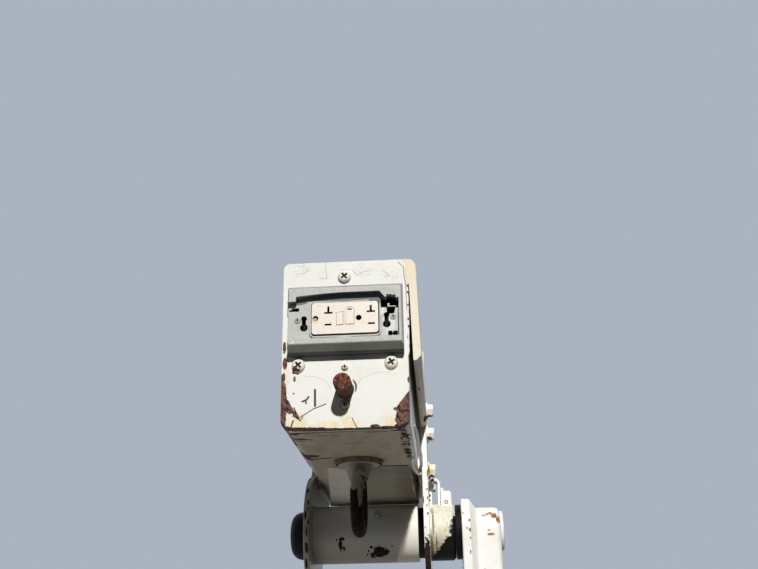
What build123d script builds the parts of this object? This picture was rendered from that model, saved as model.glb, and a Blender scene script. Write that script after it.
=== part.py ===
from build123d import *
import os

os.makedirs("parts", exist_ok=True)

# Boom tip of a bucket truck: the last stretch of the upper boom, with its end plate
# and power outlet, the fork cheeks below it and the pivot that carries the platform.
# Millimetres. X runs across the boom, +Y back along the boom, +Z up. The origin is the
# centre of the boom tube's open rear end. Depths are counted from the end plate's face,
# heights from the tube's underside.

# Boom tube and end plate
TUBE_WIDTH = 127.0
TUBE_HEIGHT = 178.0
TUBE_WALL = 6.0
TUBE_CORNER = 12.0
TIP_LENGTH = 560.0
PLATE_THICK = 6.0
PLATE_LOW_CORNER = 12.0
PLATE_HIGH_CORNER = 7.0
BOOM_BOLT_R = 8.75
BOOM_BOLT_STEP_Y = 45.0
BOOM_BOLT_STEP_Z = 100.0
BOOM_BOLT_FROM_END = 25.0

# Outlet in the end plate: drops are measured down from the plate's top edge
OUTLET_X = 1.8
OUTLET_WIDTH = 116.0
OUTLET_HEIGHT = 71.5
OUTLET_THICK = 18.0
OUTLET_DROP = 31.0
OUTLET_TOP_BEVEL = 5.0
OUTLET_TOP_BEVEL_DEPTH = 8.0
OUTLET_LOW_BEVEL = 7.5
OUTLET_LOW_BEVEL_DEPTH = 10.0
OUTLET_SIDE_BEVEL = 2.0
OUTLET_SIDE_BEVEL_DEPTH = 6.0
OUTLET_CORNER = 2.5
GASKET_THICK = 1.5
GASKET_INSET = 0.8
POCKET_DEPTH = 7.0
POCKET_RIM = 4.0
POCKET_LOW_RIM = 6.0
POCKET_LEFT_WALL = 8.7
POCKET_LEDGE_DROP = 18.5
POCKET_TOP_RIM = 10.3
POCKET_ARCH_SIDE = 13.5
POCKET_ARCH_MID = (-22.0, 11.2)
POCKET_SHOULDER = (35.0, 42.0, 19.0)
MITRE = 6.5
MITRE_DROP = 3.5
DEVICE_WIDTH = 66.8
DEVICE_HEIGHT = 33.3
DEVICE_CORNER = 3.0
DEVICE_DEPTH = 26.0
DEVICE_PROUD = 15.0
DEVICE_DROP = 0.75
DEVICE_PLAY = 0.9
DEVICE_FRAME = 2.7
FRAME_PROUD = 2.0
FRAME_LOBE_HALF = 7.0
FRAME_LOBE_OUT = 1.8
FRAME_LOBE_LEFT = 1.0
DEVICE_SLEEVE_DEPTH = 5.0
PLATE_HOLE_MARGIN = 3.0
BUTTON_PROUD = 0.8
BUTTON_SEAT = 2.5
BUTTON_PLAY = 0.3
RIDGE_R = 5.8
RIDGE_WIDE = 0.7
RIDGE_PROUD = 0.5
RIDGE_H = 6.5
RIDGE_ARM = 8.5
RIDGE_ARM_DROP = 1.4

# The device's test and reset buttons: X, drop of the centre, width, height
BUTTONS = (("test_button", -5.2, 1.05, 6.5, 12.7), ("reset_button", 4.7, 0.35, 8.8, 13.5))

# Openings in the device's face: X, height above its centre, width, height
FACE_SLOTS = (
    (-16.7, 5.6, 8.4, 1.8), (-16.7, 9.2, 2.1, 6.6), (-17.0, -6.9, 7.0, 1.9),
    (26.0, 5.6, 8.4, 1.8), (26.0, 9.0, 2.1, 6.6), (26.4, -7.1, 7.0, 1.9),
    (4.7, 8.8, 4.4, 1.4),
)
GROUND_HOLES = ((-29.6, 0.0), (13.8, -0.6))
GROUND_HOLE_R = 2.9
FACE_SLOT_DEPTH = 7.0

# Openings in the outlet base, about its centre: the lid's key slots, hinge sockets and vents
KEY_SLOTS = ((-41.8, 1.6, -7.9), (41.5, 2.6, -7.0))
KEY_HEAD_R = 3.9
KEY_NECK_R = 2.9
KEY_SLOT_HALF = 2.1
BASE_SLOTS = (
    (-52.0, 10.6, 9.8, 1.8), (-50.6, 12.0, 7.6, 2.6),
    (47.4, -17.3, 9.4, 2.2), (44.8, -17.5, 4.0, 6.4), (50.2, -17.5, 4.4, 5.6),
)
HINGE_SOCKETS = (
    (39.2, 15.1, 6.8, 8.8), (44.6, 18.4, 5.2, 7.0), (48.0, 16.8, 6.4, 9.0), (52.6, 14.2, 3.2, 8.6),
)
HINGE_BREAK = ((41.6, 11.4), (42.0, 3.7), (49.0, 3.6), (50.8, 11.2))

# Fastenings in the end plate: drops below the outlet's lower edge, bar the top screw's
PAN_HEAD_R = 7.0
PAN_HEAD_HIGH = 4.0
PAN_SHANK_R = 2.4
PAN_GRIP = 12.0
SCREW_TOP_DROP = 17.4
SCREW_LOW_DROP = 9.1
SCREW_LOW_X = 46.5
SMALL_HEAD_R = 3.8
SMALL_HEAD_HIGH = 2.4
SMALL_SHANK_R = 1.8
SMALL_SCREW_DROP = 12.0
SMALL_BELOW_STUD = 15.1
OUTLET_SCREW_HEAD_R = 3.2
OUTLET_SCREW_HEAD_HIGH = 1.2
OUTLET_SCREW_GRIP = 8.0
OUTLET_SCREW_SPOTS = ((-48.4, 36.3), (48.2, 35.9))
HEAD_EDGE = 0.3
CROSS_LONG = 1.1
CROSS_WIDE = 0.30
CROSS_TURNS = (38.0, 42.0, 30.0)
CROSS_DEEP = 0.55
STUD_R = 8.75
STUD_PROUD = 30.0
STUD_DROP = 35.2
STUD_TAIL = 30.0
STUD_CHAMFER = 1.2
STUD_NUT_WIDE = 27.0
STUD_NUT_HIGH = 12.0
THREAD_PLAY = 0.05

# Side cover on the right of the tube
COVER_THICK = 8.0
COVER_GAP = 2.0
COVER_SPLAY = 3.0
COVER_SHORT_OF_CHEEK = 2.0
COVER_HIGH = 110.0
COVER_CORNER = 9.0
COVER_LIP = 7.0
COVER_LIP_HIGH = 10.0
COVER_SEAM_HIGH = 28.0
COVER_SEAM_BITE = 1.0
COVER_LOW_FALL = 10.0
COVER_BEVEL = 5.0

# Fork cheeks and pivot
CHEEK_THICK = 6.5
CHEEK_NOSE_R = 71.0
PIVOT_DEPTH = 311.0
PIVOT_H = -59.0
CHEEK_FRONT_AHEAD = 68.0
CHEEK_REAR_DEPTH = 450.0
CHEEK_TOP_DROP = 18.0
CHEEK_LOW_H = 30.0
LEFT_CHEEK_FRONT_BEHIND = 7.0
CHEEK_CORNER = 14.0
CHEEK_INNER_R = 22.0
CHEEK_SPACER = 5.0
SPACER_INSET = 4.0
HEEL_BACK = 57.0
HEEL_DROP = 43.0
HEEL_REAR_H = -5.0
PIVOT_TUBE_R = 35.0
PIVOT_TUBE_BORE_R = 27.0
PIVOT_NECK_R = 30.5
PIVOT_NECK_LENGTH = 8.0
BUSH_LENGTH = 38.0
BUSH_PLAY = 0.05
SHAFT_R = 22.4
SHAFT_PLAY = 0.08
SHAFT_HOLE_R = 24.5
HUB_R = 34.0
HUB_LENGTH = 31.0
HUB_CHAMFER = 3.0
RING_R = 33.0
RING_THICK = 7.0
RUN_GAP = 0.6
CAP_R = 29.0
CAP_HIGH = 23.0
CAP_CORNER = 14.0

# Bolts through the right cheek
CHEEK_BOLT_R = 4.8
CHEEK_BOLT_HEAD_ACROSS = 14.3
CHEEK_BOLT_HEAD_HIGH = 7.0
CHEEK_BOLT_CROWN = 1.3
CHEEK_WASHER_R = 10.5
CHEEK_WASHER_THICK = 2.4
CHEEK_BOLT_INSET = 37.0
CHEEK_BOLT_HS = (88.5, 58.0, 12.0)
BOLT_PLAY = 0.4

# Strap and lugs on top of the hub
STRAP_WIDE = 14.0
STRAP_WALL = 3.2
STRAP_TOP_H = 6.5
STRAP_DEEP = 22.0
LUG_THIN = 3.6
LUG_THIN_TOP_H = -7.0
LUG_WIDE = 9.5
LUG_WIDE_TOP_H = -10.5
LUG_DEEP = 34.0
LUG_SINK = 6.0
LUG_ROUND = 4.0
LUG_GAP = 0.3
STRAP_INSET = 0.3

# Tie-down eye and sloped gusset under the tube
EYE_DEPTH = 150.0
PAD_R = 26.5
PAD_THICK = 5.0
PAD_CHAMFER = 1.5
BOSS_R = 10.0
BOSS_FLARE = 6.0
BOSS_LOW_H = -21.0
EYE_BAR_R = 7.2
EYE_RING_R = 30.0
EYE_LOW_H = -83.0
GUSSET_FRONT_LEFT_IN = 25.5
GUSSET_FRONT_RIGHT_IN = 9.5
GUSSET_REAR_LEFT_IN = 14.0
GUSSET_REAR_RIGHT_IN = 1.5
GUSSET_THICK = 5.0
GUSSET_FRONT_DEPTH = 178.0
GUSSET_SHORT_OF_PIVOT = 5.0
GUSSET_NOSE = 1.0

# Platform bracket
FLANGE_THICK = 10.5
FLANGE_R = 40.0
FLANGE_EDGE = 1.5
FLARE_LENGTH = 8.0
ARM_WIDE = 29.0
ARM_R = 28.5
ARM_EDGE = 6.5
ARM_LENGTH = 191.0
END_DISC_R = 24.0
END_DISC_THICK = 4.0
END_DISC_ROUND = 2.0
MOUNT_PLATE_THICK = 12.0
MOUNT_PLATE_DEEP = 150.0
MOUNT_PLATE_HIGH = 130.0
MOUNT_PLATE_DROP = 69.0
MOUNT_BOLT_R = 7.0
MOUNT_BOLT_STEP_Y = 120.0
MOUNT_BOLT_STEP_Z = 100.0
MOUNT_PLATE_CORNER = 10.0
GREASE_R = 4.0
GREASE_HIGH = 7.0
GREASE_SINK = 1.0
GREASE_X = 12.0
GREASE_TILT = 60.0
CUT = 1.0

HALF_W = TUBE_WIDTH / 2
OUTLET_TOP_H = TUBE_HEIGHT - OUTLET_DROP
OUTLET_LOW_H = OUTLET_TOP_H - OUTLET_HEIGHT
DEVICE_CENTRE_H = OUTLET_LOW_H + OUTLET_HEIGHT / 2 - DEVICE_DROP
STUD_H = OUTLET_LOW_H - STUD_DROP
SMALL_SCREW_HS = (OUTLET_LOW_H - SMALL_SCREW_DROP, STUD_H - SMALL_BELOW_STUD)
CHEEK_TOP_H = TUBE_HEIGHT - CHEEK_TOP_DROP
CHEEK_FRONT_DEPTH = PIVOT_DEPTH - CHEEK_FRONT_AHEAD
LEFT_CHEEK_FRONT_DEPTH = PIVOT_DEPTH + LEFT_CHEEK_FRONT_BEHIND
CHEEK_BOLT_DEPTH = CHEEK_FRONT_DEPTH + CHEEK_BOLT_INSET
GUSSET_REAR_DEPTH = PIVOT_DEPTH - GUSSET_SHORT_OF_PIVOT
GUSSET_FRONT_LEFT = HALF_W - GUSSET_FRONT_LEFT_IN
GUSSET_FRONT_RIGHT = HALF_W - GUSSET_FRONT_RIGHT_IN
GUSSET_REAR_LEFT = HALF_W - GUSSET_REAR_LEFT_IN
GUSSET_REAR_RIGHT = HALF_W - GUSSET_REAR_RIGHT_IN
COVER_LOW_H = TUBE_HEIGHT - COVER_HIGH
COVER_LENGTH = CHEEK_FRONT_DEPTH - COVER_SHORT_OF_CHEEK
CHEEK_IN = HALF_W + CHEEK_SPACER
CHEEK_OUT = CHEEK_IN + CHEEK_THICK
HUB_END = CHEEK_OUT + HUB_LENGTH
FLANGE_X = HUB_END + RUN_GAP + RING_THICK
ARM_X = FLANGE_X + FLANGE_THICK + FLARE_LENGTH
ARM_END_X = ARM_X + ARM_WIDE
ARM_LOW_H = PIVOT_H - ARM_LENGTH
MOUNT_PLATE_TOP_H = PIVOT_H - MOUNT_PLATE_DROP
CHEEK_BOLT_SEAT = CHEEK_OUT + CHEEK_WASHER_THICK


def back(depth):
    """Y of a depth behind the end plate's face."""
    return depth - TIP_LENGTH


def up(height):
    """Z of a height above the tube's underside."""
    return height - TUBE_HEIGHT / 2


def save(shape, name):
    shape.label = name
    export_step(shape, f"parts/{name}.step")


def block(x0, x1, d0, d1, h0, h1):
    """A box from its limits in X, depth and height."""
    centre = ((x0 + x1) / 2, back((d0 + d1) / 2), up((h0 + h1) / 2))
    return Pos(*centre) * Box(x1 - x0, d1 - d0, h1 - h0)


def rod_x(x0, x1, depth, height, radius):
    """A round bar along X."""
    return Pos((x0 + x1) / 2, back(depth), up(height)) * Rot(0, 90, 0) * Cylinder(radius, x1 - x0)


def rod_y(x, d0, d1, height, radius):
    """A round bar along Y."""
    return Pos(x, back((d0 + d1) / 2), up(height)) * Rot(90, 0, 0) * Cylinder(radius, d1 - d0)


def rod_z(x, depth, h0, h1, radius):
    """A round bar along Z."""
    return Pos(x, back(depth), up((h0 + h1) / 2)) * Cylinder(radius, h1 - h0)


def front_plane(depth):
    """A sketch plane at a depth, seen from in front: right is +X, up is +Z, normal -Y."""
    return Plane(origin=(0, back(depth), up(0)), x_dir=(1, 0, 0), z_dir=(0, -1, 0))


def side_plane(x):
    """A sketch plane at an X, with +Y to the right, +Z up and its normal along +X."""
    return Plane(origin=(x, back(0), up(0)), x_dir=(0, 1, 0), z_dir=(1, 0, 0))


def tube_shell(d0, d1, grow=0.0):
    """The boom tube's outer form as a solid, grown by a clearance."""
    outline = RectangleRounded(TUBE_WIDTH + 2 * grow, TUBE_HEIGHT + 2 * grow, TUBE_CORNER + grow)
    sketch = front_plane(d1) * Pos(0, TUBE_HEIGHT / 2) * outline
    return extrude(sketch, d1 - d0)


def boom_bolt_spots():
    """Depth and height of each through-bolt hole at the rear of the tube."""
    middle_d = TIP_LENGTH - BOOM_BOLT_FROM_END - BOOM_BOLT_STEP_Y / 2
    return [(middle_d + i * BOOM_BOLT_STEP_Y / 2, TUBE_HEIGHT / 2 + j * BOOM_BOLT_STEP_Z / 2)
            for i in (-1, 1) for j in (-1, 1)]


def make_tube():
    inner_w = TUBE_WIDTH - 2 * TUBE_WALL
    inner_h = TUBE_HEIGHT - 2 * TUBE_WALL
    bore = front_plane(TIP_LENGTH) * Pos(0, TUBE_HEIGHT / 2) * RectangleRounded(
        inner_w, inner_h, TUBE_CORNER - TUBE_WALL)
    tube = tube_shell(PLATE_THICK, TIP_LENGTH) - extrude(bore, TIP_LENGTH - PLATE_THICK)
    for depth, height in boom_bolt_spots():
        tube -= rod_x(-TUBE_WIDTH, TUBE_WIDTH, depth, height, BOOM_BOLT_R)
    for height in CHEEK_BOLT_HS:
        tube -= rod_x(0, TUBE_WIDTH, CHEEK_BOLT_DEPTH, height, CHEEK_BOLT_R + BOLT_PLAY)
    save(tube, "boom_tube")


def plate_screw_spots():
    low = OUTLET_LOW_H - SCREW_LOW_DROP
    return [(0, TUBE_HEIGHT - SCREW_TOP_DROP), (-SCREW_LOW_X, low), (SCREW_LOW_X, low)]


def plate_form():
    """The end plate's blank, with its rounded corners."""
    outline = front_plane(PLATE_THICK) * Pos(0, TUBE_HEIGHT / 2) * Rectangle(TUBE_WIDTH, TUBE_HEIGHT)
    plate = extrude(outline, PLATE_THICK)
    plate = fillet(plate.edges().filter_by(Axis.Y).group_by(Axis.Z)[0], PLATE_LOW_CORNER)
    return fillet(plate.edges().filter_by(Axis.Y).group_by(Axis.Z)[-1], PLATE_HIGH_CORNER)


def device_outline(depth, margin, corner):
    """A rounded rectangle about the outlet device's face, in a plane at a depth."""
    return front_plane(depth) * Pos(OUTLET_X, DEVICE_CENTRE_H) * RectangleRounded(
        DEVICE_WIDTH + 2 * margin, DEVICE_HEIGHT + 2 * margin, corner)


def make_end_plate():
    plate = plate_form()
    hole = device_outline(PLATE_THICK + CUT, PLATE_HOLE_MARGIN, DEVICE_CORNER)
    plate -= extrude(hole, PLATE_THICK + 2 * CUT)
    for x, height in plate_screw_spots():
        plate -= rod_y(x, -CUT, PLATE_THICK + CUT, height, PAN_SHANK_R + BOLT_PLAY)
    for height in SMALL_SCREW_HS:
        plate -= rod_y(0, -CUT, PLATE_THICK + CUT, height, SMALL_SHANK_R + BOLT_PLAY)
    plate -= rod_y(0, -CUT, PLATE_THICK + CUT, STUD_H, STUD_R + BOLT_PLAY)
    save(plate, "end_plate")


def outlet_section():
    """The outlet base's side profile: a block whose top and lower edges are sloped off."""
    with BuildSketch(side_plane(OUTLET_X - OUTLET_WIDTH / 2)) as section:
        with BuildLine():
            Polyline((-GASKET_THICK, OUTLET_LOW_H), (-GASKET_THICK, OUTLET_TOP_H),
                     (OUTLET_TOP_BEVEL_DEPTH - OUTLET_THICK, OUTLET_TOP_H),
                     (-OUTLET_THICK, OUTLET_TOP_H - OUTLET_TOP_BEVEL),
                     (-OUTLET_THICK, OUTLET_LOW_H + OUTLET_LOW_BEVEL),
                     (OUTLET_LOW_BEVEL_DEPTH - OUTLET_THICK, OUTLET_LOW_H),
                     (-GASKET_THICK, OUTLET_LOW_H))
        make_face()
    return section.sketch


def outlet_pocket():
    """The recess of the lost lid: an arched top edge that drops off in a shoulder at the right."""
    half = OUTLET_WIDTH / 2 - POCKET_RIM
    wall, side = POCKET_LEFT_WALL - OUTLET_WIDTH / 2, -OUTLET_WIDTH / 2 - CUT
    ledge = OUTLET_TOP_H - POCKET_LEDGE_DROP
    low = OUTLET_LOW_H + OUTLET_LOW_BEVEL + POCKET_LOW_RIM
    top = OUTLET_TOP_H - POCKET_TOP_RIM
    side_h = OUTLET_TOP_H - POCKET_ARCH_SIDE
    arch_x, arch_drop = POCKET_ARCH_MID
    shoulder_in, shoulder_out, shoulder_drop = POCKET_SHOULDER
    shoulder_h = OUTLET_TOP_H - shoulder_drop
    with BuildSketch(front_plane(POCKET_DEPTH - OUTLET_THICK) * Pos(OUTLET_X, 0)) as pocket:
        with BuildLine():
            Polyline((wall, side_h), (wall, ledge), (side, ledge), (side, low - MITRE_DROP),
                     (side + MITRE, low), (half, low), (half, shoulder_h),
                     (shoulder_out, shoulder_h), (shoulder_in, top), (0, top))
            ThreePointArc((0, top), (arch_x, OUTLET_TOP_H - arch_drop), (wall, side_h))
        make_face()
    return pocket.sketch


def key_slot(x, neck, head):
    """A keyhole through the outlet base: a round head below a narrow neck."""
    centre = DEVICE_CENTRE_H
    at = OUTLET_X + x
    tool = rod_y(at, -OUTLET_THICK, CUT, centre + head, KEY_HEAD_R)
    tool += rod_y(at, -OUTLET_THICK, CUT, centre + neck, KEY_NECK_R)
    return tool + block(at - KEY_SLOT_HALF, at + KEY_SLOT_HALF, -OUTLET_THICK, CUT,
                        centre + head, centre + neck)


def base_window(x, above, wide, high):
    """A rectangular hole through the outlet base, about the device's centre."""
    at, h = OUTLET_X + x, DEVICE_CENTRE_H + above
    return block(at - wide / 2, at + wide / 2, -OUTLET_THICK - CUT, CUT, h - high / 2, h + high / 2)


def hinge_break():
    """The ragged notch that the lost lid's hinge left."""
    corners = [(OUTLET_X + x, DEVICE_CENTRE_H + above) for x, above in HINGE_BREAK]
    return extrude(front_plane(CUT) * Polygon(*corners, align=None), OUTLET_THICK + 2 * CUT)


def side_bevels():
    """The wedges that slope off the outlet base's left and right front edges."""
    tools = []
    for side in (-1, 1):
        edge = OUTLET_X + side * (OUTLET_WIDTH / 2 + CUT)
        inner = edge - side * (OUTLET_SIDE_BEVEL + CUT)
        front = back(-OUTLET_THICK - CUT)
        wedge = Plane.XY.offset(up(OUTLET_LOW_H - CUT)) * Polygon(
            (edge, front), (inner, front), (edge, back(OUTLET_SIDE_BEVEL_DEPTH - OUTLET_THICK)),
            align=None)
        tools.append(extrude(wedge, OUTLET_HEIGHT + 2 * CUT, dir=(0, 0, 1)))
    return tools


def frame_outline(depth):
    """The raised frame round the device, with a lobe above and below its middle."""
    outline = device_outline(depth, DEVICE_FRAME, DEVICE_CORNER + DEVICE_FRAME)
    reach = DEVICE_HEIGHT / 2 + DEVICE_FRAME
    for side in (-1, 1):
        spot = Pos(OUTLET_X - FRAME_LOBE_LEFT, DEVICE_CENTRE_H + side * reach)
        outline += front_plane(depth) * spot * Ellipse(FRAME_LOBE_HALF, FRAME_LOBE_OUT)
    return outline


def make_outlet_base():
    base = extrude(outlet_section(), OUTLET_WIDTH)
    base = fillet(base.edges().filter_by(Axis.X).group_by(Axis.Y)[0], OUTLET_CORNER)
    base -= extrude(outlet_pocket(), POCKET_DEPTH + CUT)
    base -= side_bevels()
    base += extrude(frame_outline(POCKET_DEPTH - OUTLET_THICK), FRAME_PROUD)
    sleeve = device_outline(DEVICE_SLEEVE_DEPTH, PLATE_HOLE_MARGIN - DEVICE_PLAY, DEVICE_CORNER)
    base += extrude(sleeve, DEVICE_SLEEVE_DEPTH + 2 * GASKET_THICK)
    opening = device_outline(DEVICE_SLEEVE_DEPTH + CUT, DEVICE_PLAY, DEVICE_CORNER)
    base -= extrude(opening, DEVICE_SLEEVE_DEPTH + OUTLET_THICK + 2 * CUT)
    for x, height in outlet_screw_spots():
        base -= rod_y(x, -OUTLET_THICK - CUT, CUT, height, SMALL_SHANK_R + BOLT_PLAY)
    for slot in KEY_SLOTS:
        base -= key_slot(*slot)
    for window in BASE_SLOTS + HINGE_SOCKETS:
        base -= base_window(*window)
    save(base - hinge_break(), "outlet_base")


def make_gasket():
    """The thin black pad between the outlet base and the end plate."""
    half = OUTLET_WIDTH / 2 - GASKET_INSET
    pad = block(OUTLET_X - half, OUTLET_X + half, -GASKET_THICK, 0,
                OUTLET_LOW_H + GASKET_INSET, OUTLET_TOP_H - GASKET_INSET)
    pad -= extrude(device_outline(CUT, PLATE_HOLE_MARGIN, DEVICE_CORNER), 2 * CUT + GASKET_THICK)
    for x, height in outlet_screw_spots():
        pad -= rod_y(x, -GASKET_THICK - CUT, CUT, height, SMALL_SHANK_R + BOLT_PLAY)
    save(pad, "outlet_gasket")


def outlet_screw_spots():
    return [(OUTLET_X + x, OUTLET_TOP_H - drop) for x, drop in OUTLET_SCREW_SPOTS]


def button_ridge():
    """The raised arch over the reset button, with an arm that falls away over the test button."""
    centre = (OUTLET_X + BUTTONS[1][1], DEVICE_CENTRE_H + RIDGE_H)
    plane = front_plane(-DEVICE_PROUD) * Pos(*centre)
    ring = plane * (Circle(RIDGE_R) - Circle(RIDGE_R - RIDGE_WIDE))
    arch = extrude(ring, RIDGE_PROUD)
    arch = arch & block(centre[0] - RIDGE_R, centre[0] + RIDGE_R, -OUTLET_THICK, 0,
                        centre[1], centre[1] + RIDGE_R)
    foot, tip = RIDGE_WIDE / 2 - RIDGE_R, -RIDGE_R - RIDGE_ARM
    arm = plane * Polygon((foot, RIDGE_WIDE), (foot, 2 * RIDGE_WIDE), (tip, RIDGE_WIDE - RIDGE_ARM_DROP),
                          (tip, -RIDGE_ARM_DROP), align=None)
    return arch + extrude(arm, RIDGE_PROUD)


def make_receptacle():
    body = extrude(device_outline(DEVICE_DEPTH - DEVICE_PROUD, 0, DEVICE_CORNER), DEVICE_DEPTH)
    body += button_ridge()
    front = -DEVICE_PROUD - CUT
    for _, *sizes in BUTTONS:
        body -= button_block(*sizes, front, -DEVICE_PROUD + BUTTON_SEAT, BUTTON_PLAY)
    for x, above, wide, high in FACE_SLOTS:
        h = DEVICE_CENTRE_H + above
        at = OUTLET_X + x
        body -= block(at - wide / 2, at + wide / 2, front, -DEVICE_PROUD + FACE_SLOT_DEPTH,
                      h - high / 2, h + high / 2)
    for x, above in GROUND_HOLES:
        body -= rod_y(OUTLET_X + x, front, -DEVICE_PROUD + FACE_SLOT_DEPTH, DEVICE_CENTRE_H + above,
                      GROUND_HOLE_R)
    save(body, "receptacle")


def button_block(x, drop, wide, high, front, rear, margin):
    """A button's block, or with a margin the pocket that it sits in."""
    at, h = OUTLET_X + x, DEVICE_CENTRE_H - drop
    half_w, half_h = wide / 2 + margin, high / 2 + margin
    return block(at - half_w, at + half_w, front, rear, h - half_h, h + half_h)


def make_buttons():
    front, rear = -DEVICE_PROUD - BUTTON_PROUD, -DEVICE_PROUD + BUTTON_SEAT
    for name, *sizes in BUTTONS:
        save(button_block(*sizes, front, rear, 0), name)


def screw(x, seat, height, head_r, head_high, shank_r, grip, turn=0.0):
    """A dome-headed cross-slot screw whose head sits at a depth and whose shank goes back."""
    head = rod_y(x, seat - head_high, seat, height, head_r)
    rim = head.edges().filter_by(GeomType.CIRCLE).sort_by(Axis.Y)[0]
    head = fillet(rim, head_high - HEAD_EDGE)
    floor = seat - head_high * (1 - CROSS_DEEP)
    for angle in (turn, turn + 90):
        bar = front_plane(floor) * Pos(x, height) * Rot(0, 0, angle) * Rectangle(
            head_r * CROSS_LONG, head_r * CROSS_WIDE)
        head -= extrude(bar, head_high)
    return head + rod_y(x, seat, seat + grip, height, shank_r)


def make_screws():
    pans = [screw(x, 0, height, PAN_HEAD_R, PAN_HEAD_HIGH, PAN_SHANK_R, PAN_GRIP, turn)
            for (x, height), turn in zip(plate_screw_spots(), CROSS_TURNS)]
    save(Compound(children=pans), "plate_screws")
    smalls = [screw(0, 0, height, SMALL_HEAD_R, SMALL_HEAD_HIGH, SMALL_SHANK_R, PLATE_THICK)
              for height in SMALL_SCREW_HS]
    save(Compound(children=smalls), "small_screws")
    floor = POCKET_DEPTH - OUTLET_THICK
    covers = [screw(x, floor, height, OUTLET_SCREW_HEAD_R, OUTLET_SCREW_HEAD_HIGH, SMALL_SHANK_R,
                    OUTLET_SCREW_GRIP) for x, height in outlet_screw_spots()]
    save(Compound(children=covers), "outlet_screws")


def make_stud():
    stud = rod_y(0, -STUD_PROUD, STUD_TAIL, STUD_H, STUD_R)
    tip = stud.edges().filter_by(GeomType.CIRCLE).sort_by(Axis.Y)[0]
    save(chamfer(tip, STUD_CHAMFER), "chain_stud")
    nut = front_plane(PLATE_THICK + STUD_NUT_HIGH) * Pos(0, STUD_H) * RegularPolygon(
        STUD_NUT_WIDE / 2, 6, major_radius=False)
    nut = extrude(nut, STUD_NUT_HIGH) - rod_y(0, 0, STUD_TAIL, STUD_H, STUD_R + THREAD_PLAY)
    save(nut, "stud_nut")


def cover_side(x, height):
    """Where a side of the cover is at a height, as it splays out downwards."""
    return x + COVER_SPLAY * (TUBE_HEIGHT - height) / COVER_HIGH


def cover_section(depth, low):
    """The cover's section at a depth: a hanging plate with a lip on top and a bevel below."""
    inner, outer = HALF_W + COVER_GAP, HALF_W + COVER_GAP + COVER_THICK
    lip = TUBE_HEIGHT - COVER_LIP_HIGH
    corners = [(cover_side(inner, low), low), (cover_side(outer, low) - COVER_BEVEL, low),
               (cover_side(outer, low + COVER_BEVEL), low + COVER_BEVEL), (outer, TUBE_HEIGHT),
               (HALF_W - COVER_LIP, TUBE_HEIGHT), (HALF_W - COVER_LIP, lip),
               (cover_side(inner, lip), lip)]
    face = Polygon(*corners, align=None)
    top_right = face.vertices().group_by(Axis.Y)[-1].sort_by(Axis.X)[-1]
    return front_plane(depth) * fillet(top_right, COVER_CORNER)


def make_side_cover():
    """A thick cover plate that hangs beside the tube from its top right corner."""
    ends = ((COVER_LENGTH, COVER_LOW_H - COVER_LOW_FALL), (0, COVER_LOW_H))
    cover = loft([cover_section(*end) for end in ends], ruled=True)
    cover += block(HALF_W - COVER_SEAM_BITE, HALF_W + COVER_GAP + COVER_SEAM_BITE, 0, PLATE_THICK,
                   TUBE_HEIGHT - COVER_SEAM_HIGH, TUBE_HEIGHT - COVER_SEAM_BITE)
    cover -= tube_shell(PLATE_THICK, COVER_LENGTH + CUT) + plate_form()
    save(cover, "side_cover")


def cheek_outline(front_depth, front_low_h):
    """A cheek's side profile: a tall plate with a round nose about the pivot."""
    nose = Pos(PIVOT_DEPTH, PIVOT_H) * Circle(CHEEK_NOSE_R)
    tall = Pos((front_depth + CHEEK_REAR_DEPTH) / 2, (CHEEK_TOP_H + CHEEK_LOW_H) / 2) * Rectangle(
        CHEEK_REAR_DEPTH - front_depth, CHEEK_TOP_H - CHEEK_LOW_H)
    tall = fillet(tall.vertices(), CHEEK_CORNER)
    with BuildSketch() as web:
        with BuildLine():
            Polyline((front_depth, CHEEK_LOW_H + CHEEK_CORNER), (front_depth, front_low_h),
                     (PIVOT_DEPTH, PIVOT_H),
                     (PIVOT_DEPTH + HEEL_BACK, PIVOT_H - HEEL_DROP),
                     (CHEEK_REAR_DEPTH, HEEL_REAR_H),
                     (CHEEK_REAR_DEPTH, CHEEK_LOW_H + CHEEK_CORNER),
                     (front_depth, CHEEK_LOW_H + CHEEK_CORNER))
        make_face()
    outline = nose + tall + web.sketch
    inner = [v for v in outline.vertices() if is_inner_corner(v, front_depth)]
    return fillet(inner, CHEEK_INNER_R) if inner else outline


def is_inner_corner(vertex, front_depth):
    """Whether a point of a cheek's outline is where a set-back front edge meets the nose."""
    over_nose = PIVOT_H + CHEEK_NOSE_R / 2 < vertex.Y < CHEEK_LOW_H
    return over_nose and abs(vertex.X - front_depth) < CUT and front_depth > PIVOT_DEPTH


def make_cheeks():
    shapes = (
        ("cheek_right", CHEEK_IN, CHEEK_FRONT_DEPTH, PIVOT_H),
        ("cheek_left", -CHEEK_OUT, LEFT_CHEEK_FRONT_DEPTH, PIVOT_H + HEEL_BACK),
    )
    for name, x, front_depth, front_low_h in shapes:
        outline = cheek_outline(front_depth, front_low_h)
        cheek = extrude(side_plane(x) * outline, CHEEK_THICK)
        cheek -= rod_x(x - CUT, x + CHEEK_THICK + CUT, PIVOT_DEPTH, PIVOT_H, SHAFT_HOLE_R)
        if x > 0:
            for height in CHEEK_BOLT_HS:
                cheek -= rod_x(x - CUT, x + CHEEK_THICK + CUT, CHEEK_BOLT_DEPTH, height,
                               CHEEK_BOLT_R + BOLT_PLAY)
        save(cheek, name)


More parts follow.
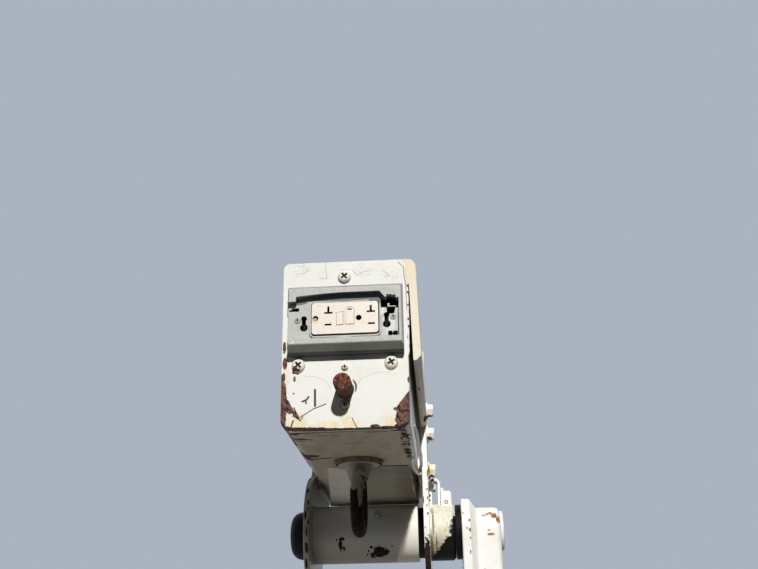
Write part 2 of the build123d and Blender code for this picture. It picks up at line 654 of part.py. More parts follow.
def make_cheek_spacers():
    """Packing strips that fill the gap between the tube's sides and the cheeks."""
    strips = {"cheek_spacer_right": (HALF_W, CHEEK_FRONT_DEPTH + SPACER_INSET),
              "cheek_spacer_left": (-CHEEK_IN, LEFT_CHEEK_FRONT_DEPTH + SPACER_INSET)}
    for name, (x, front) in strips.items():
        strip = block(x, x + CHEEK_SPACER, front, CHEEK_REAR_DEPTH - SPACER_INSET,
                      0, CHEEK_TOP_H - CHEEK_CORNER)
        if x > 0:
            for height in CHEEK_BOLT_HS:
                strip -= rod_x(x - CUT, x + CHEEK_SPACER + CUT, CHEEK_BOLT_DEPTH, height,
                               CHEEK_BOLT_R + BOLT_PLAY)
        save(strip, name)


def make_pivot():
    bore = rod_x(-TUBE_WIDTH, TUBE_WIDTH, PIVOT_DEPTH, PIVOT_H, PIVOT_TUBE_BORE_R)
    neck = rod_x(CHEEK_IN - PIVOT_NECK_LENGTH, CHEEK_IN + CUT, PIVOT_DEPTH, PIVOT_H, PIVOT_TUBE_R + CUT)
    neck -= rod_x(CHEEK_IN - PIVOT_NECK_LENGTH, CHEEK_IN + CUT, PIVOT_DEPTH, PIVOT_H, PIVOT_NECK_R)
    save(pivot_form() - bore - neck, "pivot_tube")
    for side, name in ((-1, "bushing_left"), (1, "bushing_right")):
        ends = sorted((side * CHEEK_IN, side * (CHEEK_IN - BUSH_LENGTH)))
        bush = rod_x(*ends, PIVOT_DEPTH, PIVOT_H, PIVOT_TUBE_BORE_R - BUSH_PLAY)
        bush -= rod_x(ends[0] - CUT, ends[1] + CUT, PIVOT_DEPTH, PIVOT_H, SHAFT_R + SHAFT_PLAY)
        save(bush, name)
    hub = rod_x(CHEEK_OUT, HUB_END, PIVOT_DEPTH, PIVOT_H, HUB_R)
    outer = hub.edges().filter_by(GeomType.CIRCLE).sort_by(Axis.X)[-1]
    hub = chamfer(outer, HUB_CHAMFER)
    hub -= rod_x(CHEEK_OUT - CUT, HUB_END + CUT, PIVOT_DEPTH, PIVOT_H, SHAFT_HOLE_R)
    save(hub, "bearing_hub")


def hex_bolt(height):
    """A hex bolt whose head is outboard of the right cheek and whose end is flush in the tube."""
    hexagon = side_plane(CHEEK_BOLT_SEAT) * Pos(CHEEK_BOLT_DEPTH, height) * RegularPolygon(
        CHEEK_BOLT_HEAD_ACROSS / 2, 6, major_radius=False)
    crown = rod_x(CHEEK_BOLT_SEAT, CHEEK_BOLT_SEAT + CHEEK_BOLT_HEAD_HIGH, CHEEK_BOLT_DEPTH, height,
                  CHEEK_BOLT_HEAD_ACROSS / 2 + CHEEK_BOLT_CROWN)
    rim = crown.edges().filter_by(GeomType.CIRCLE).sort_by(Axis.X)[-1]
    head = extrude(hexagon, CHEEK_BOLT_HEAD_HIGH) & chamfer(rim, CHEEK_BOLT_CROWN)
    return head + rod_x(HALF_W - TUBE_WALL, CHEEK_BOLT_SEAT, CHEEK_BOLT_DEPTH, height, CHEEK_BOLT_R)


def make_cheek_bolts():
    save(Compound(children=[hex_bolt(h) for h in CHEEK_BOLT_HS]), "cheek_bolts")
    washers = [rod_x(CHEEK_OUT, CHEEK_BOLT_SEAT, CHEEK_BOLT_DEPTH, h, CHEEK_WASHER_R)
               - rod_x(CHEEK_OUT - CUT, CHEEK_BOLT_SEAT + CUT, CHEEK_BOLT_DEPTH, h, CHEEK_BOLT_R + BOLT_PLAY)
               for h in CHEEK_BOLT_HS]
    save(Compound(children=washers), "cheek_washers")


def hub_form():
    return rod_x(CHEEK_OUT - CUT, HUB_END + CUT, PIVOT_DEPTH, PIVOT_H, HUB_R)


def make_hose_strap():
    """An upright loop of flat bar on top of the hub."""
    low = PIVOT_H + HUB_R - LUG_SINK
    bend_h = STRAP_TOP_H - STRAP_WIDE / 2
    inner = STRAP_WIDE / 2 - STRAP_WALL
    with BuildSketch(front_plane(PIVOT_DEPTH + STRAP_DEEP / 2)) as arch:
        with Locations((CHEEK_OUT + STRAP_INSET + STRAP_WIDE / 2, 0)):
            with Locations((0, (low + bend_h) / 2)):
                Rectangle(STRAP_WIDE, bend_h - low)
            with Locations((0, bend_h)):
                Circle(STRAP_WIDE / 2)
            with Locations((0, (low + bend_h) / 2)):
                Rectangle(2 * inner, bend_h - low, mode=Mode.SUBTRACT)
            with Locations((0, bend_h)):
                Circle(inner, mode=Mode.SUBTRACT)
    save(extrude(arch.sketch, STRAP_DEEP) - hub_form(), "hose_strap")


def make_level_lug():
    low = PIVOT_H + HUB_R - LUG_SINK
    front, rear = PIVOT_DEPTH - LUG_DEEP / 2, PIVOT_DEPTH + LUG_DEEP / 2
    x1 = CHEEK_OUT + STRAP_INSET + STRAP_WIDE + LUG_GAP
    x2 = x1 + LUG_THIN
    thin = block(x1, x2, front, rear, low, LUG_THIN_TOP_H)
    wide = block(x2, x2 + LUG_WIDE, front, rear, low, LUG_WIDE_TOP_H)
    top_edge = wide.edges().group_by(Axis.Z)[-1].sort_by(Axis.X)[-1]
    wide = fillet(top_edge, LUG_ROUND)
    save((thin + wide) - hub_form(), "level_lug")


def make_eye():
    pad = rod_z(0, EYE_DEPTH, -PAD_THICK, 0, PAD_R)
    save(chamfer(pad.edges().group_by(Axis.Z)[0], PAD_CHAMFER), "eye_pad")
    centre_h = EYE_LOW_H + EYE_BAR_R + EYE_RING_R
    ring = Pos(0, back(EYE_DEPTH), up(centre_h)) * Rot(0, 90, 0) * Torus(EYE_RING_R, EYE_BAR_R)
    boss = Pos(0, back(EYE_DEPTH), up((BOSS_LOW_H - PAD_THICK) / 2)) * Cone(
        BOSS_R, BOSS_R + BOSS_FLARE, -PAD_THICK - BOSS_LOW_H)
    save(ring + boss, "tie_down_eye")


def gusset_blank(inset):
    """A wedge that widens towards the pivot tube, drawn in by an inset at its sides and below."""
    sections = []
    pivot_top = PIVOT_H + PIVOT_TUBE_R
    spots = ((GUSSET_FRONT_DEPTH, GUSSET_FRONT_LEFT, GUSSET_FRONT_RIGHT, -GUSSET_NOSE),
             (GUSSET_REAR_DEPTH, GUSSET_REAR_LEFT, GUSSET_REAR_RIGHT, pivot_top))
    for depth, left, right, low in spots:
        left, right = inset - left, right - inset
        top = max(low + inset, 0) + CUT if inset else 0
        face = front_plane(depth) * Polygon((left, low + inset), (right, low + inset), (right, top),
                                            (left, top), align=None)
        sections.append(face)
    return loft(sections)


def make_gusset():
    """A folded plate under the tube that slopes down to the pivot tube."""
    gusset = gusset_blank(0) - gusset_blank(GUSSET_THICK)
    save(gusset - pivot_form(), "belly_gusset")


def pivot_form():
    return rod_x(-CHEEK_IN, CHEEK_IN, PIVOT_DEPTH, PIVOT_H, PIVOT_TUBE_R)


def arm_outline(radius, low_h):
    """A round-topped bar about the pivot that runs straight down."""
    top = Pos(PIVOT_DEPTH, PIVOT_H) * Circle(radius)
    bar = Pos(PIVOT_DEPTH, (PIVOT_H + low_h) / 2) * Rectangle(2 * radius, PIVOT_H - low_h)
    return top + bar


def make_platform_bracket():
    shaft_bore = rod_x(FLANGE_X - CUT, ARM_END_X + CUT, PIVOT_DEPTH, PIVOT_H, SHAFT_R + SHAFT_PLAY)
    flange = extrude(side_plane(FLANGE_X) * arm_outline(FLANGE_R, ARM_LOW_H), FLANGE_THICK)
    flange = fillet(flange.faces().sort_by(Axis.X)[0].edges().sort_by(Axis.Z)[1:], FLANGE_EDGE)
    flare = loft([side_plane(ARM_X - FLARE_LENGTH) * arm_outline(FLANGE_R, ARM_LOW_H),
                  side_plane(ARM_X) * arm_outline(ARM_R, ARM_LOW_H)])
    save(flange + flare - shaft_bore, "bracket_flange")
    arm = extrude(side_plane(ARM_X) * arm_outline(ARM_R, ARM_LOW_H), ARM_WIDE)
    arm = fillet(arm.faces().sort_by(Axis.X)[-1].edges().sort_by(Axis.Z)[1:], ARM_EDGE)
    save(arm - shaft_bore, "bracket_arm")
    disc = rod_x(ARM_END_X, ARM_END_X + END_DISC_THICK, PIVOT_DEPTH, PIVOT_H, END_DISC_R)
    disc = fillet(disc.edges().filter_by(GeomType.CIRCLE).sort_by(Axis.X)[-1], END_DISC_ROUND)
    save(disc, "shaft_end_disc")


def make_mount_plate():
    x0 = ARM_END_X
    low = MOUNT_PLATE_TOP_H - MOUNT_PLATE_HIGH
    plate = block(x0, x0 + MOUNT_PLATE_THICK, PIVOT_DEPTH - MOUNT_PLATE_DEEP / 2,
                  PIVOT_DEPTH + MOUNT_PLATE_DEEP / 2, low, MOUNT_PLATE_TOP_H)
    plate = fillet(plate.edges().filter_by(Axis.X), MOUNT_PLATE_CORNER)
    centre_h = MOUNT_PLATE_TOP_H - MOUNT_PLATE_HIGH / 2
    for i in (-1, 1):
        for j in (-1, 1):
            plate -= rod_x(x0 - CUT, x0 + MOUNT_PLATE_THICK + CUT, PIVOT_DEPTH + i * MOUNT_BOLT_STEP_Y / 2,
                           centre_h + j * MOUNT_BOLT_STEP_Z / 2, MOUNT_BOLT_R)
    save(plate, "platform_plate")


def make_shaft():
    left = CHEEK_OUT + RUN_GAP
    shaft = rod_x(-left, ARM_END_X, PIVOT_DEPTH, PIVOT_H, SHAFT_R)
    save(shaft, "pivot_shaft")
    cap = rod_x(-left - CAP_HIGH, -left, PIVOT_DEPTH, PIVOT_H, CAP_R)
    crown = cap.edges().filter_by(GeomType.CIRCLE).sort_by(Axis.X)[0]
    save(fillet(crown, CAP_CORNER), "shaft_cap")
    ring = rod_x(HUB_END + RUN_GAP, FLANGE_X, PIVOT_DEPTH, PIVOT_H, RING_R)
    ring -= rod_x(HUB_END, FLANGE_X + CUT, PIVOT_DEPTH, PIVOT_H, SHAFT_R + SHAFT_PLAY)
    save(ring, "seal_ring")


def make_grease_fitting():
    seat = PIVOT_TUBE_R - GREASE_SINK
    body = Pos(GREASE_X, back(PIVOT_DEPTH), up(PIVOT_H)) * Rot(GREASE_TILT, 0, 0) * Pos(
        0, 0, seat + GREASE_HIGH / 2) * Cylinder(GREASE_R, GREASE_HIGH)
    save(body - pivot_form(), "grease_fitting")


def main():
    make_tube()
    make_end_plate()
    make_outlet_base()
    make_gasket()
    make_receptacle()
    make_buttons()
    make_screws()
    make_stud()
    make_side_cover()
    make_cheeks()
    make_cheek_spacers()
    make_pivot()
    make_cheek_bolts()
    make_hose_strap()
    make_level_lug()
    make_eye()
    make_gusset()
    make_platform_bracket()
    make_mount_plate()
    make_shaft()
    make_grease_fitting()


main()
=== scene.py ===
"""Dresses the boom tip: camera, light, floor, materials with their wear, and added pieces.

Tables give places in millimetres: x across from the tube's centre, depth behind the end plate's
face, height above the tube's underside.
"""
import math
import random

import bmesh
import bpy
from mathutils import Matrix, Vector, noise


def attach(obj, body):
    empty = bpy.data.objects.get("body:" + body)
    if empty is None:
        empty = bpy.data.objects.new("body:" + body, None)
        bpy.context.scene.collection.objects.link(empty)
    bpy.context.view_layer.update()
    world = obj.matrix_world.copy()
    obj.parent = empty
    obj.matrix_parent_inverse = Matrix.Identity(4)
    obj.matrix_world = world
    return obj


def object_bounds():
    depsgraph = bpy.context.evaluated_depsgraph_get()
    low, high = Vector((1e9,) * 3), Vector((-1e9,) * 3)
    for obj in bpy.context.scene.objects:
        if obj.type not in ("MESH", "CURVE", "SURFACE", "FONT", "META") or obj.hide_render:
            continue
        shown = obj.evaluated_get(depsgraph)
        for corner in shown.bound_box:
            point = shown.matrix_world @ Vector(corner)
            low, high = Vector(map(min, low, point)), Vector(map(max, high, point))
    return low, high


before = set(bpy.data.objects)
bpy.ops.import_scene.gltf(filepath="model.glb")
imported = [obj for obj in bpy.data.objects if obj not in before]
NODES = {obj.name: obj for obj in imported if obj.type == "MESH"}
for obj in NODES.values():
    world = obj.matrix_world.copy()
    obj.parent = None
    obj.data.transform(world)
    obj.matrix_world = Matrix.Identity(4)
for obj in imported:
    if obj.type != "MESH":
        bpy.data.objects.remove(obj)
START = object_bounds()

MM = 0.001
PLATE_Y = -560.0
UNDERSIDE_Z = -89.0
TIP = "boom_tip"


def place(x, depth, height):
    """A point in metres from its place in millimetres."""
    return Vector((x * MM, (depth + PLATE_Y) * MM, (height + UNDERSIDE_Z) * MM))


def new_object(name, data):
    made = bpy.data.objects.new(name, data)
    bpy.context.scene.collection.objects.link(made)
    return made


# Camera
FOCAL_PX = 940.0
PHOTO_WIDTH = 758
SENSOR_WIDTH = 36.0
CLIP_START = 0.01
CAM_AT = (91.0, -893.0, -215.0)
YAW, PITCH, ROLL = (math.radians(v) for v in (-3.55, 22.23, -1.05))


def make_camera():
    right = Vector((math.cos(YAW), -math.sin(YAW), 0))
    ahead = Vector((math.sin(YAW) * math.cos(PITCH), math.cos(YAW) * math.cos(PITCH), math.sin(PITCH)))
    up = right.cross(ahead)
    side = math.cos(ROLL) * right + math.sin(ROLL) * up
    top = math.cos(ROLL) * up - math.sin(ROLL) * right
    data = bpy.data.cameras.new("photo_camera")
    data.sensor_fit = "HORIZONTAL"
    data.sensor_width = SENSOR_WIDTH
    data.lens = FOCAL_PX / PHOTO_WIDTH * SENSOR_WIDTH
    data.clip_start = CLIP_START
    camera = new_object("photo_camera", data)
    at = place(*CAM_AT)
    rows = [(side[i], top[i], -ahead[i], at[i]) for i in range(3)]
    camera.matrix_world = Matrix(rows + [(0, 0, 0, 1)])
    bpy.context.scene.camera = camera


# Floor, backdrop and light
FLOOR_DROP = 0.012
FLOOR_REACH = 15.0
FLOOR_COLOUR = (0.34, 0.34, 0.34, 1)
FLOOR_ROUGH = 0.95
FLOOR_GLOW = (0.40, 0.41, 0.42, 1)
FLOOR_GLOW_STRENGTH = 0.85
BACKDROP = (0.40, 0.45, 0.52, 1)
TO_SUN = Vector((0.18, -1.0, 0.63)).normalized()
SUN_SPREAD = 2.3
SUN_STRENGTH = 3.69
SUN_COLOUR = (1.0, 0.985, 0.945)
LIT_POINT = (20, 150, 40)
# Name, direction from the part, distance, size, watts and colour
FILL_LIGHTS = [
    ("front_fill", (-0.5, -1.0, 0.35), 3.0, 3.0, 2.2, (0.86, 0.93, 1.0)),
    ("top_fill", (0.2, 0.4, 1.0), 3.0, 2.5, 10, (0.85, 0.92, 1.0)),
    ("back_fill", (0.1, 1.0, 0.25), 3.0, 2.5, 22, (0.95, 0.97, 1.0)),
    ("left_fill", (-1.0, 0.40, 0.12), 3.0, 2.5, 14, (0.92, 0.96, 1.0)),
    ("ground_fill", (-0.25, -0.30, -1.0), 2.2, 2.0, 9.0, (1.0, 0.94, 0.84)),
]


def make_floor():
    """A pale floor under the part that takes its shadow and throws no light on it."""
    low = START[0][2] - FLOOR_DROP
    corners = [(-1, -1), (1, -1), (1, 1), (-1, 1)]
    mesh = bpy.data.meshes.new("floor")
    mesh.from_pydata([(x * FLOOR_REACH, y * FLOOR_REACH, low) for x, y in corners], [], [(0, 1, 2, 3)])
    floor = new_object("floor", mesh)
    mat = bpy.data.materials.new("floor")
    mat.use_nodes = True
    shader = mat.node_tree.nodes["Principled BSDF"]
    looks = {"Base Color": FLOOR_COLOUR, "Roughness": FLOOR_ROUGH, "Specular IOR Level": 0.0,
             "Emission Color": FLOOR_GLOW, "Emission Strength": FLOOR_GLOW_STRENGTH}
    for name, value in looks.items():
        shader.inputs[name].default_value = value
    mesh.materials.append(mat)
    floor.visible_diffuse = False
    floor.visible_glossy = False
    floor.visible_shadow = False


def make_backdrop():
    world = bpy.data.worlds.new("backdrop")
    bpy.context.scene.world = world
    world.use_nodes = True
    back = world.node_tree.nodes["Background"]
    back.inputs["Color"].default_value = BACKDROP
    back.inputs["Strength"].default_value = 1.0
    world.cycles_visibility.diffuse = False
    bpy.context.scene.view_settings.view_transform = "Standard"


def add_lamp(name, data, colour, towards):
    """A lamp whose light comes from the given direction."""
    data.color = colour
    lamp = new_object(name, data)
    lamp.rotation_euler = towards.to_track_quat("Z", "Y").to_euler()
    return lamp


def make_lights():
    """The even key light, and weak square lamps that lift the shaded sides."""
    key = bpy.data.lights.new("key", "SUN")
    key.energy = SUN_STRENGTH
    key.angle = math.radians(SUN_SPREAD)
    add_lamp("key", key, SUN_COLOUR, TO_SUN)
    for name, direction, distance, size, watts, colour in FILL_LIGHTS:
        data = bpy.data.lights.new(name, "AREA")
        data.energy = watts
        data.size = size
        towards = Vector(direction).normalized()
        lamp = add_lamp(name, data, colour, towards)
        lamp.location = place(*LIT_POINT) + towards * distance


# Material layers
LEVEL = 0.5


class Coat:
    """A node material that is built up in layers, from paint to dirt and rust."""

    def __init__(self, name, colour, rough, bevel=0.6):
        self.mat = bpy.data.materials.new(name)
        self.mat.use_nodes = True
        self.tree = self.mat.node_tree
        self.shader = self.tree.nodes["Principled BSDF"]
        coord = self.add("ShaderNodeTexCoord").outputs["Object"]
        self.point = self.vec("MULTIPLY_ADD", coord, (1 / MM,) * 3, (0, -PLATE_Y, -UNDERSIDE_Z))
        self.colour = (*colour, 1)
        self.rough = rough
        self.height = LEVEL
        self.metal = 0.0
        self.gloss = 0.5
        self.bevel = self.add("ShaderNodeBevel", samples=4) if bevel else None
        if bevel:
            self.bevel.inputs["Radius"].default_value = bevel * MM

    def add(self, kind, **settings):
        node = self.tree.nodes.new(kind)
        for key, value in settings.items():
            setattr(node, key, value)
        return node

    def put(self, socket, value):
        if isinstance(value, bpy.types.NodeSocket):
            self.tree.links.new(value, socket)
        else:
            socket.default_value = value

    def math(self, kind, *values, clamp=False):
        node = self.add("ShaderNodeMath", operation=kind, use_clamp=clamp)
        for socket, value in zip(node.inputs, values):
            self.put(socket, value)
        return node.outputs[0]

    def vec(self, kind, *values):
        node = self.add("ShaderNodeVectorMath", operation=kind)
        for socket, value in zip(node.inputs, values):
            self.put(socket, value)
        return node.outputs["Value" if kind in ("LENGTH", "DOT_PRODUCT") else "Vector"]

    def blend(self, share, a, b, how="MIX"):
        node = self.add("ShaderNodeMix", data_type="RGBA", blend_type=how)
        self.put(node.inputs["Factor"], share)
        self.put(node.inputs[6], a)
        self.put(node.inputs[7], b)
        return node.outputs[2]

    def mean(self, share, a, b):
        node = self.add("ShaderNodeMix", data_type="FLOAT")
        self.put(node.inputs[0], share)
        self.put(node.inputs[2], a)
        self.put(node.inputs[3], b)
        return node.outputs[0]

    def both(self, a, b):
        return self.math("MULTIPLY", a, b)

    def nearest(self, values):
        """The smallest of some distances."""
        best = values[0]
        for value in values[1:]:
            best = self.math("MINIMUM", best, value)
        return best

    def span(self, value, low, high):
        """A mask that rises smoothly from 0 at low to 1 at high, which may be the smaller one."""
        node = self.add("ShaderNodeMapRange", interpolation_type="SMOOTHSTEP")
        for socket, number in zip(node.inputs, (value, low, high, 0.0, 1.0)):
            self.put(socket, number)
        return node.outputs[0]

    def axis(self, *run):
        """How far the point lies along a direction."""
        return self.vec("DOT_PRODUCT", self.point, run)

    def over_x(self, low, high):
        """A mask by place: 0 at low and 1 at high, which may be the smaller one."""
        return self.span(self.axis(1, 0, 0), low, high)

    def between_x(self, first, second):
        """1 where both of two such masks are."""
        return self.both(self.over_x(*first), self.over_x(*second))

    def over_depth(self, low, high):
        return self.span(self.axis(0, 1, 0), low, high)

    def over_height(self, low, high):
        return self.span(self.axis(0, 0, 1), low, high)

    def facing(self, *way):
        """1 where the surface squarely faces a direction, -1 where it faces away."""
        normal = self.add("ShaderNodeNewGeometry").outputs["Normal"]
        return self.vec("DOT_PRODUCT", normal, way)

    def noise(self, size, detail=4.0, rough=0.55, stretch=(1, 1, 1), shift=0.0):
        """Noise with features of about size millimetres, longer where stretch is over 1."""
        scale = tuple(1 / (size * s) for s in stretch)
        at = self.vec("MULTIPLY_ADD", self.point, scale, (shift,) * 3)
        node = self.add("ShaderNodeTexNoise")
        self.put(node.inputs["Vector"], at)
        node.inputs["Scale"].default_value = 1.0
        node.inputs["Detail"].default_value = detail
        node.inputs["Roughness"].default_value = rough
        return node.outputs["Fac"]

    def patches(self, low, high, size, detail=4.0, rough=0.55, stretch=(1, 1, 1), shift=0.0):
        """A mask that is 1 where a noise is past high."""
        return self.span(self.noise(size, detail, rough, stretch, shift), low, high)

    def cracks(self, size, width, wander=0.35, bend_scale=0.45):
        """Thin bent lines between cells of about size millimetres."""
        bend = self.add("ShaderNodeTexNoise")
        self.put(bend.inputs["Vector"], self.point)
        bend.inputs["Scale"].default_value = bend_scale
        at = self.vec("MULTIPLY_ADD", bend.outputs["Color"], (wander * size,) * 3, self.point)
        cells = self.add("ShaderNodeTexVoronoi", feature="DISTANCE_TO_EDGE")
        self.put(cells.inputs["Vector"], at)
        cells.inputs["Scale"].default_value = 1 / size
        return self.span(cells.outputs["Distance"], width / size, 0.0)

    def spots(self, rows):
        """How far out of the nearest spot: 1 on its edge. Rows are x, depth, height and the three radii."""
        far = []
        for x, d, h, rx, rd, rh in rows:
            shift = (-x / rx, -d / rd, -h / rh)
            at = self.vec("MULTIPLY_ADD", self.point, (1 / rx, 1 / rd, 1 / rh), shift)
            far.append(self.vec("LENGTH", at))
        return self.nearest(far)

    def within(self, corners, unit=3.0):
        """As spots, for a convex shape on the front. Corners are x and height, clockwise."""
        best = None
        for (x0, h0), (x1, h1) in zip(corners, corners[1:] + corners[:1]):
            run = Vector((x1 - x0, h1 - h0)).normalized()
            start = run.x * h0 - run.y * x0
            far = self.math("MULTIPLY_ADD", self.axis(-run.y, 0, run.x), 1 / unit, 1 - start / unit)
            best = far if best is None else self.math("MAXIMUM", best, far)
        return best

    def strokes(self, rows):
        """As spots, for lines. Rows are the two ends and half the width."""
        far = []
        for x0, d0, h0, x1, d1, h1, half in rows:
            run = Vector((x1 - x0, d1 - d0, h1 - h0))
            rel = self.vec("SUBTRACT", self.point, (x0, d0, h0))
            along = self.vec("DOT_PRODUCT", rel, tuple(run / run.length_squared))
            along = self.math("MAXIMUM", self.math("MINIMUM", along, 1.0), 0.0)
            scaled = self.add("ShaderNodeVectorMath", operation="SCALE")
            scaled.inputs[0].default_value = tuple(run)
            self.put(scaled.inputs["Scale"], along)
            off = self.vec("LENGTH", self.vec("SUBTRACT", rel, scaled.outputs[0]))
            far.append(self.math("DIVIDE", off, half))
        return self.nearest(far)

    def inside(self, far, ragged=0.6, grain=4.0, soft=0.12, shift=0.0):
        """A mask that is 1 inside the spots or strokes, with a torn edge."""
        tear = self.noise(grain, 6, 0.65, shift=shift)
        torn = self.math("MULTIPLY_ADD", tear, ragged, -0.5 * ragged)
        return self.span(self.math("ADD", far, torn), 1 + soft, 1 - soft)

    def in_spots(self, rows, *torn):
        return self.inside(self.spots(rows), *torn)

    def on_lines(self, rows, *torn):
        return self.inside(self.strokes(rows), *torn)

    def along_rim(self, rows, wide, narrow):
        """A mask along the edge of spots, from its outer width to where it is full."""
        off = self.math("ABSOLUTE", self.math("SUBTRACT", self.spots(rows), 1.0))
        return self.span(off, wide, narrow)

    def runs_down(self, rows):
        """A mask of thin runs down from points. Rows are x, depth, height, length and half the width."""
        lines = [(x, d, h, x, d, h - long, half) for x, d, h, long, half in rows]
        return self.on_lines(lines, 1.6, 5, 0.7)

    def edge(self, low=0.02, high=0.12):
        """A mask along sharp outer and inner edges."""
        plain = self.add("ShaderNodeNewGeometry").outputs["Normal"]
        same = self.vec("DOT_PRODUCT", plain, self.bevel.outputs[0])
        return self.span(self.math("SUBTRACT", 1.0, same), low, high)

    def cover(self, mask, colour, rough=None, height=None, gloss=None, share=1.0):
        """One more layer where mask is 1."""
        if share != 1.0:
            mask = self.math("MULTIPLY", mask, share)
        colour = (*colour, 1) if isinstance(colour, tuple) else colour
        self.colour = self.blend(mask, self.colour, colour)
        if rough is not None:
            self.rough = self.mean(mask, self.rough, rough)
        if height is not None:
            self.height = self.mean(mask, self.height, height)
        if gloss is not None:
            self.gloss = self.mean(mask, self.gloss, gloss)

    def tint(self, mask, colour, share=1.0):
        """Darkens through a thin stain."""
        if share != 1.0:
            mask = self.math("MULTIPLY", mask, share)
        self.colour = self.blend(mask, self.colour, (*colour, 1), "MULTIPLY")

    def relief(self, size, detail, strength):
        """Makes the surface uneven by a fine noise."""
        self.height = self.math("MULTIPLY_ADD", self.noise(size, detail), strength, LEVEL)

    def rust(self, grain=2.5, tone=None):
        """Mottled rust, from its dark pits to its light crust."""
        dark, mid, light = tone or RUST
        node = self.add("ShaderNodeValToRGB")
        self.put(node.inputs[0], self.noise(grain, 7, 0.75, shift=7.0))
        points = node.color_ramp.elements
        pit_end, middle, crust = RUST_STOPS
        points[0].position, points[0].color = pit_end, (*dark, 1)
        points[1].position, points[1].color = crust, (*light, 1)
        points.new(middle).color = (*mid, 1)
        return node.outputs[0]

    def done(self, depth=0.25):
        """Joins the layers to the shader. depth is the relief in millimetres."""
        looks = {"Base Color": self.colour, "Roughness": self.rough, "Metallic": self.metal,
                 "Specular IOR Level": self.gloss}
        for name, value in looks.items():
            self.put(self.shader.inputs[name], value)
        bump = self.add("ShaderNodeBump")
        bump.inputs["Strength"].default_value = 1.0
        bump.inputs["Distance"].default_value = depth * MM
        self.put(bump.inputs["Height"], self.height)
        if self.bevel:
            self.put(bump.inputs["Normal"], self.bevel.outputs[0])
        self.put(self.shader.inputs["Normal"], bump.outputs[0])
        return self.mat


# Tones
WHITE = (0.83, 0.83, 0.80)
CREAM = (0.82, 0.75, 0.60)
HUB_CREAM = (0.75, 0.725, 0.615)
GREASE = (0.006, 0.0055, 0.005)
GRIME = (0.55, 0.48, 0.38)
YELLOWED = (0.90, 0.87, 0.80)
RUSTY_RIM = (0.95, 0.80, 0.62)
RUN_STAIN = (0.62, 0.42, 0.26)
CRACK_BROWN = (0.30, 0.17, 0.09)
PAINT_GLOSS = 0.3

# Rust tones: pits, middle and crust, and where the noise has them
RUST_STOPS = (0.40, 0.49, 0.66)
RUST = ((0.016, 0.007, 0.006), (0.100, 0.045, 0.035), (0.22, 0.120, 0.090))
RED_RUST = ((0.008, 0.003, 0.002), (0.105, 0.022, 0.012), (0.50, 0.20, 0.110))
DARK_RUST = ((0.006, 0.004, 0.003), (0.028, 0.014, 0.010), (0.085, 0.042, 0.026))
ORANGE_RUST = ((0.10, 0.035, 0.016), (0.36, 0.15, 0.06), (0.62, 0.36, 0.19))
PLATE_RUST = ((0.045, 0.018, 0.013), (0.150, 0.085, 0.066), (0.25, 0.165, 0.135))
EYE_RUST = ((0.005, 0.003, 0.0025), (0.018, 0.008, 0.006), (0.075, 0.026, 0.016))
PAD_RUST = ((0.045, 0.030, 0.020), (0.24, 0.195, 0.140), (0.40, 0.35, 0.28))
WELD_RUST = ((0.020, 0.010, 0.006), (0.110, 0.050, 0.028), (0.30, 0.17, 0.10))
SCAB_RUST = ((0.016, 0.007, 0.006), (0.060, 0.024, 0.017), (0.16, 0.08, 0.055))
RUST_ROUGH = 0.9
RUST_GLOSS = 0.2


def base_paint(name, colour=WHITE, rough=0.5, grime=0.12):
    """Old enamel: uneven tone, brush ripple and a little grime in patches."""
    coat = Coat(name, colour, rough)
    coat.gloss = PAINT_GLOSS
    coat.relief(1.6, 3, 0.10)
    coat.tint(coat.patches(0.45, 0.75, 22, 5), YELLOWED, 0.6)
    coat.tint(coat.patches(0.52, 0.78, 9, 7, 0.7, shift=3.0), GRIME, grime)
    return coat


def chip(coat, rows, tone=RUST, ragged=0.9, grain=3.0, halo=0.5, hold=None, shapes=(), mottle=2.6):
    """Rust where the paint is gone, with a stained rim.

    hold is a mask that stays painted, and shapes are further distances, as within gives them.
    """
    far = coat.nearest([coat.spots(rows), *shapes])
    coat.tint(coat.inside(far, ragged, grain, 0.55, 5.0), RUSTY_RIM, halo)
    bare = coat.inside(far, ragged, grain, 0.10, 5.0)
    if hold is not None:
        bare = coat.math("SUBTRACT", bare, hold, clamp=True)
    pitted = coat.both(coat.noise(1.5, 6), 0.45)
    coat.cover(bare, coat.rust(mottle, tone), RUST_ROUGH, pitted, RUST_GLOSS)
    return bare


def worn_edges(coat, share=0.8, tone=DARK_RUST, grain=7.0, bare=0.54):
    """Chips along the edges, where a slow noise lets them."""
    where = coat.patches(bare, bare + 0.05, grain, 6, 0.7, shift=11.0)
    coat.cover(coat.both(coat.edge(), where), coat.rust(2.0, tone), RUST_ROUGH, 0.2, RUST_GLOSS, share)


def specks(coat, size=5.0, low=0.70, tone=(0.10, 0.055, 0.035), share=0.8):
    """Small chips all over."""
    coat.cover(coat.patches(low, low + 0.03, size, 5, 0.75, shift=17.0), tone, 0.85, 0.2, share=share)


DIRT_RUN = (0.68, 0.54, 0.40)
SCAR_RIM = (0.88, 0.68, 0.48)


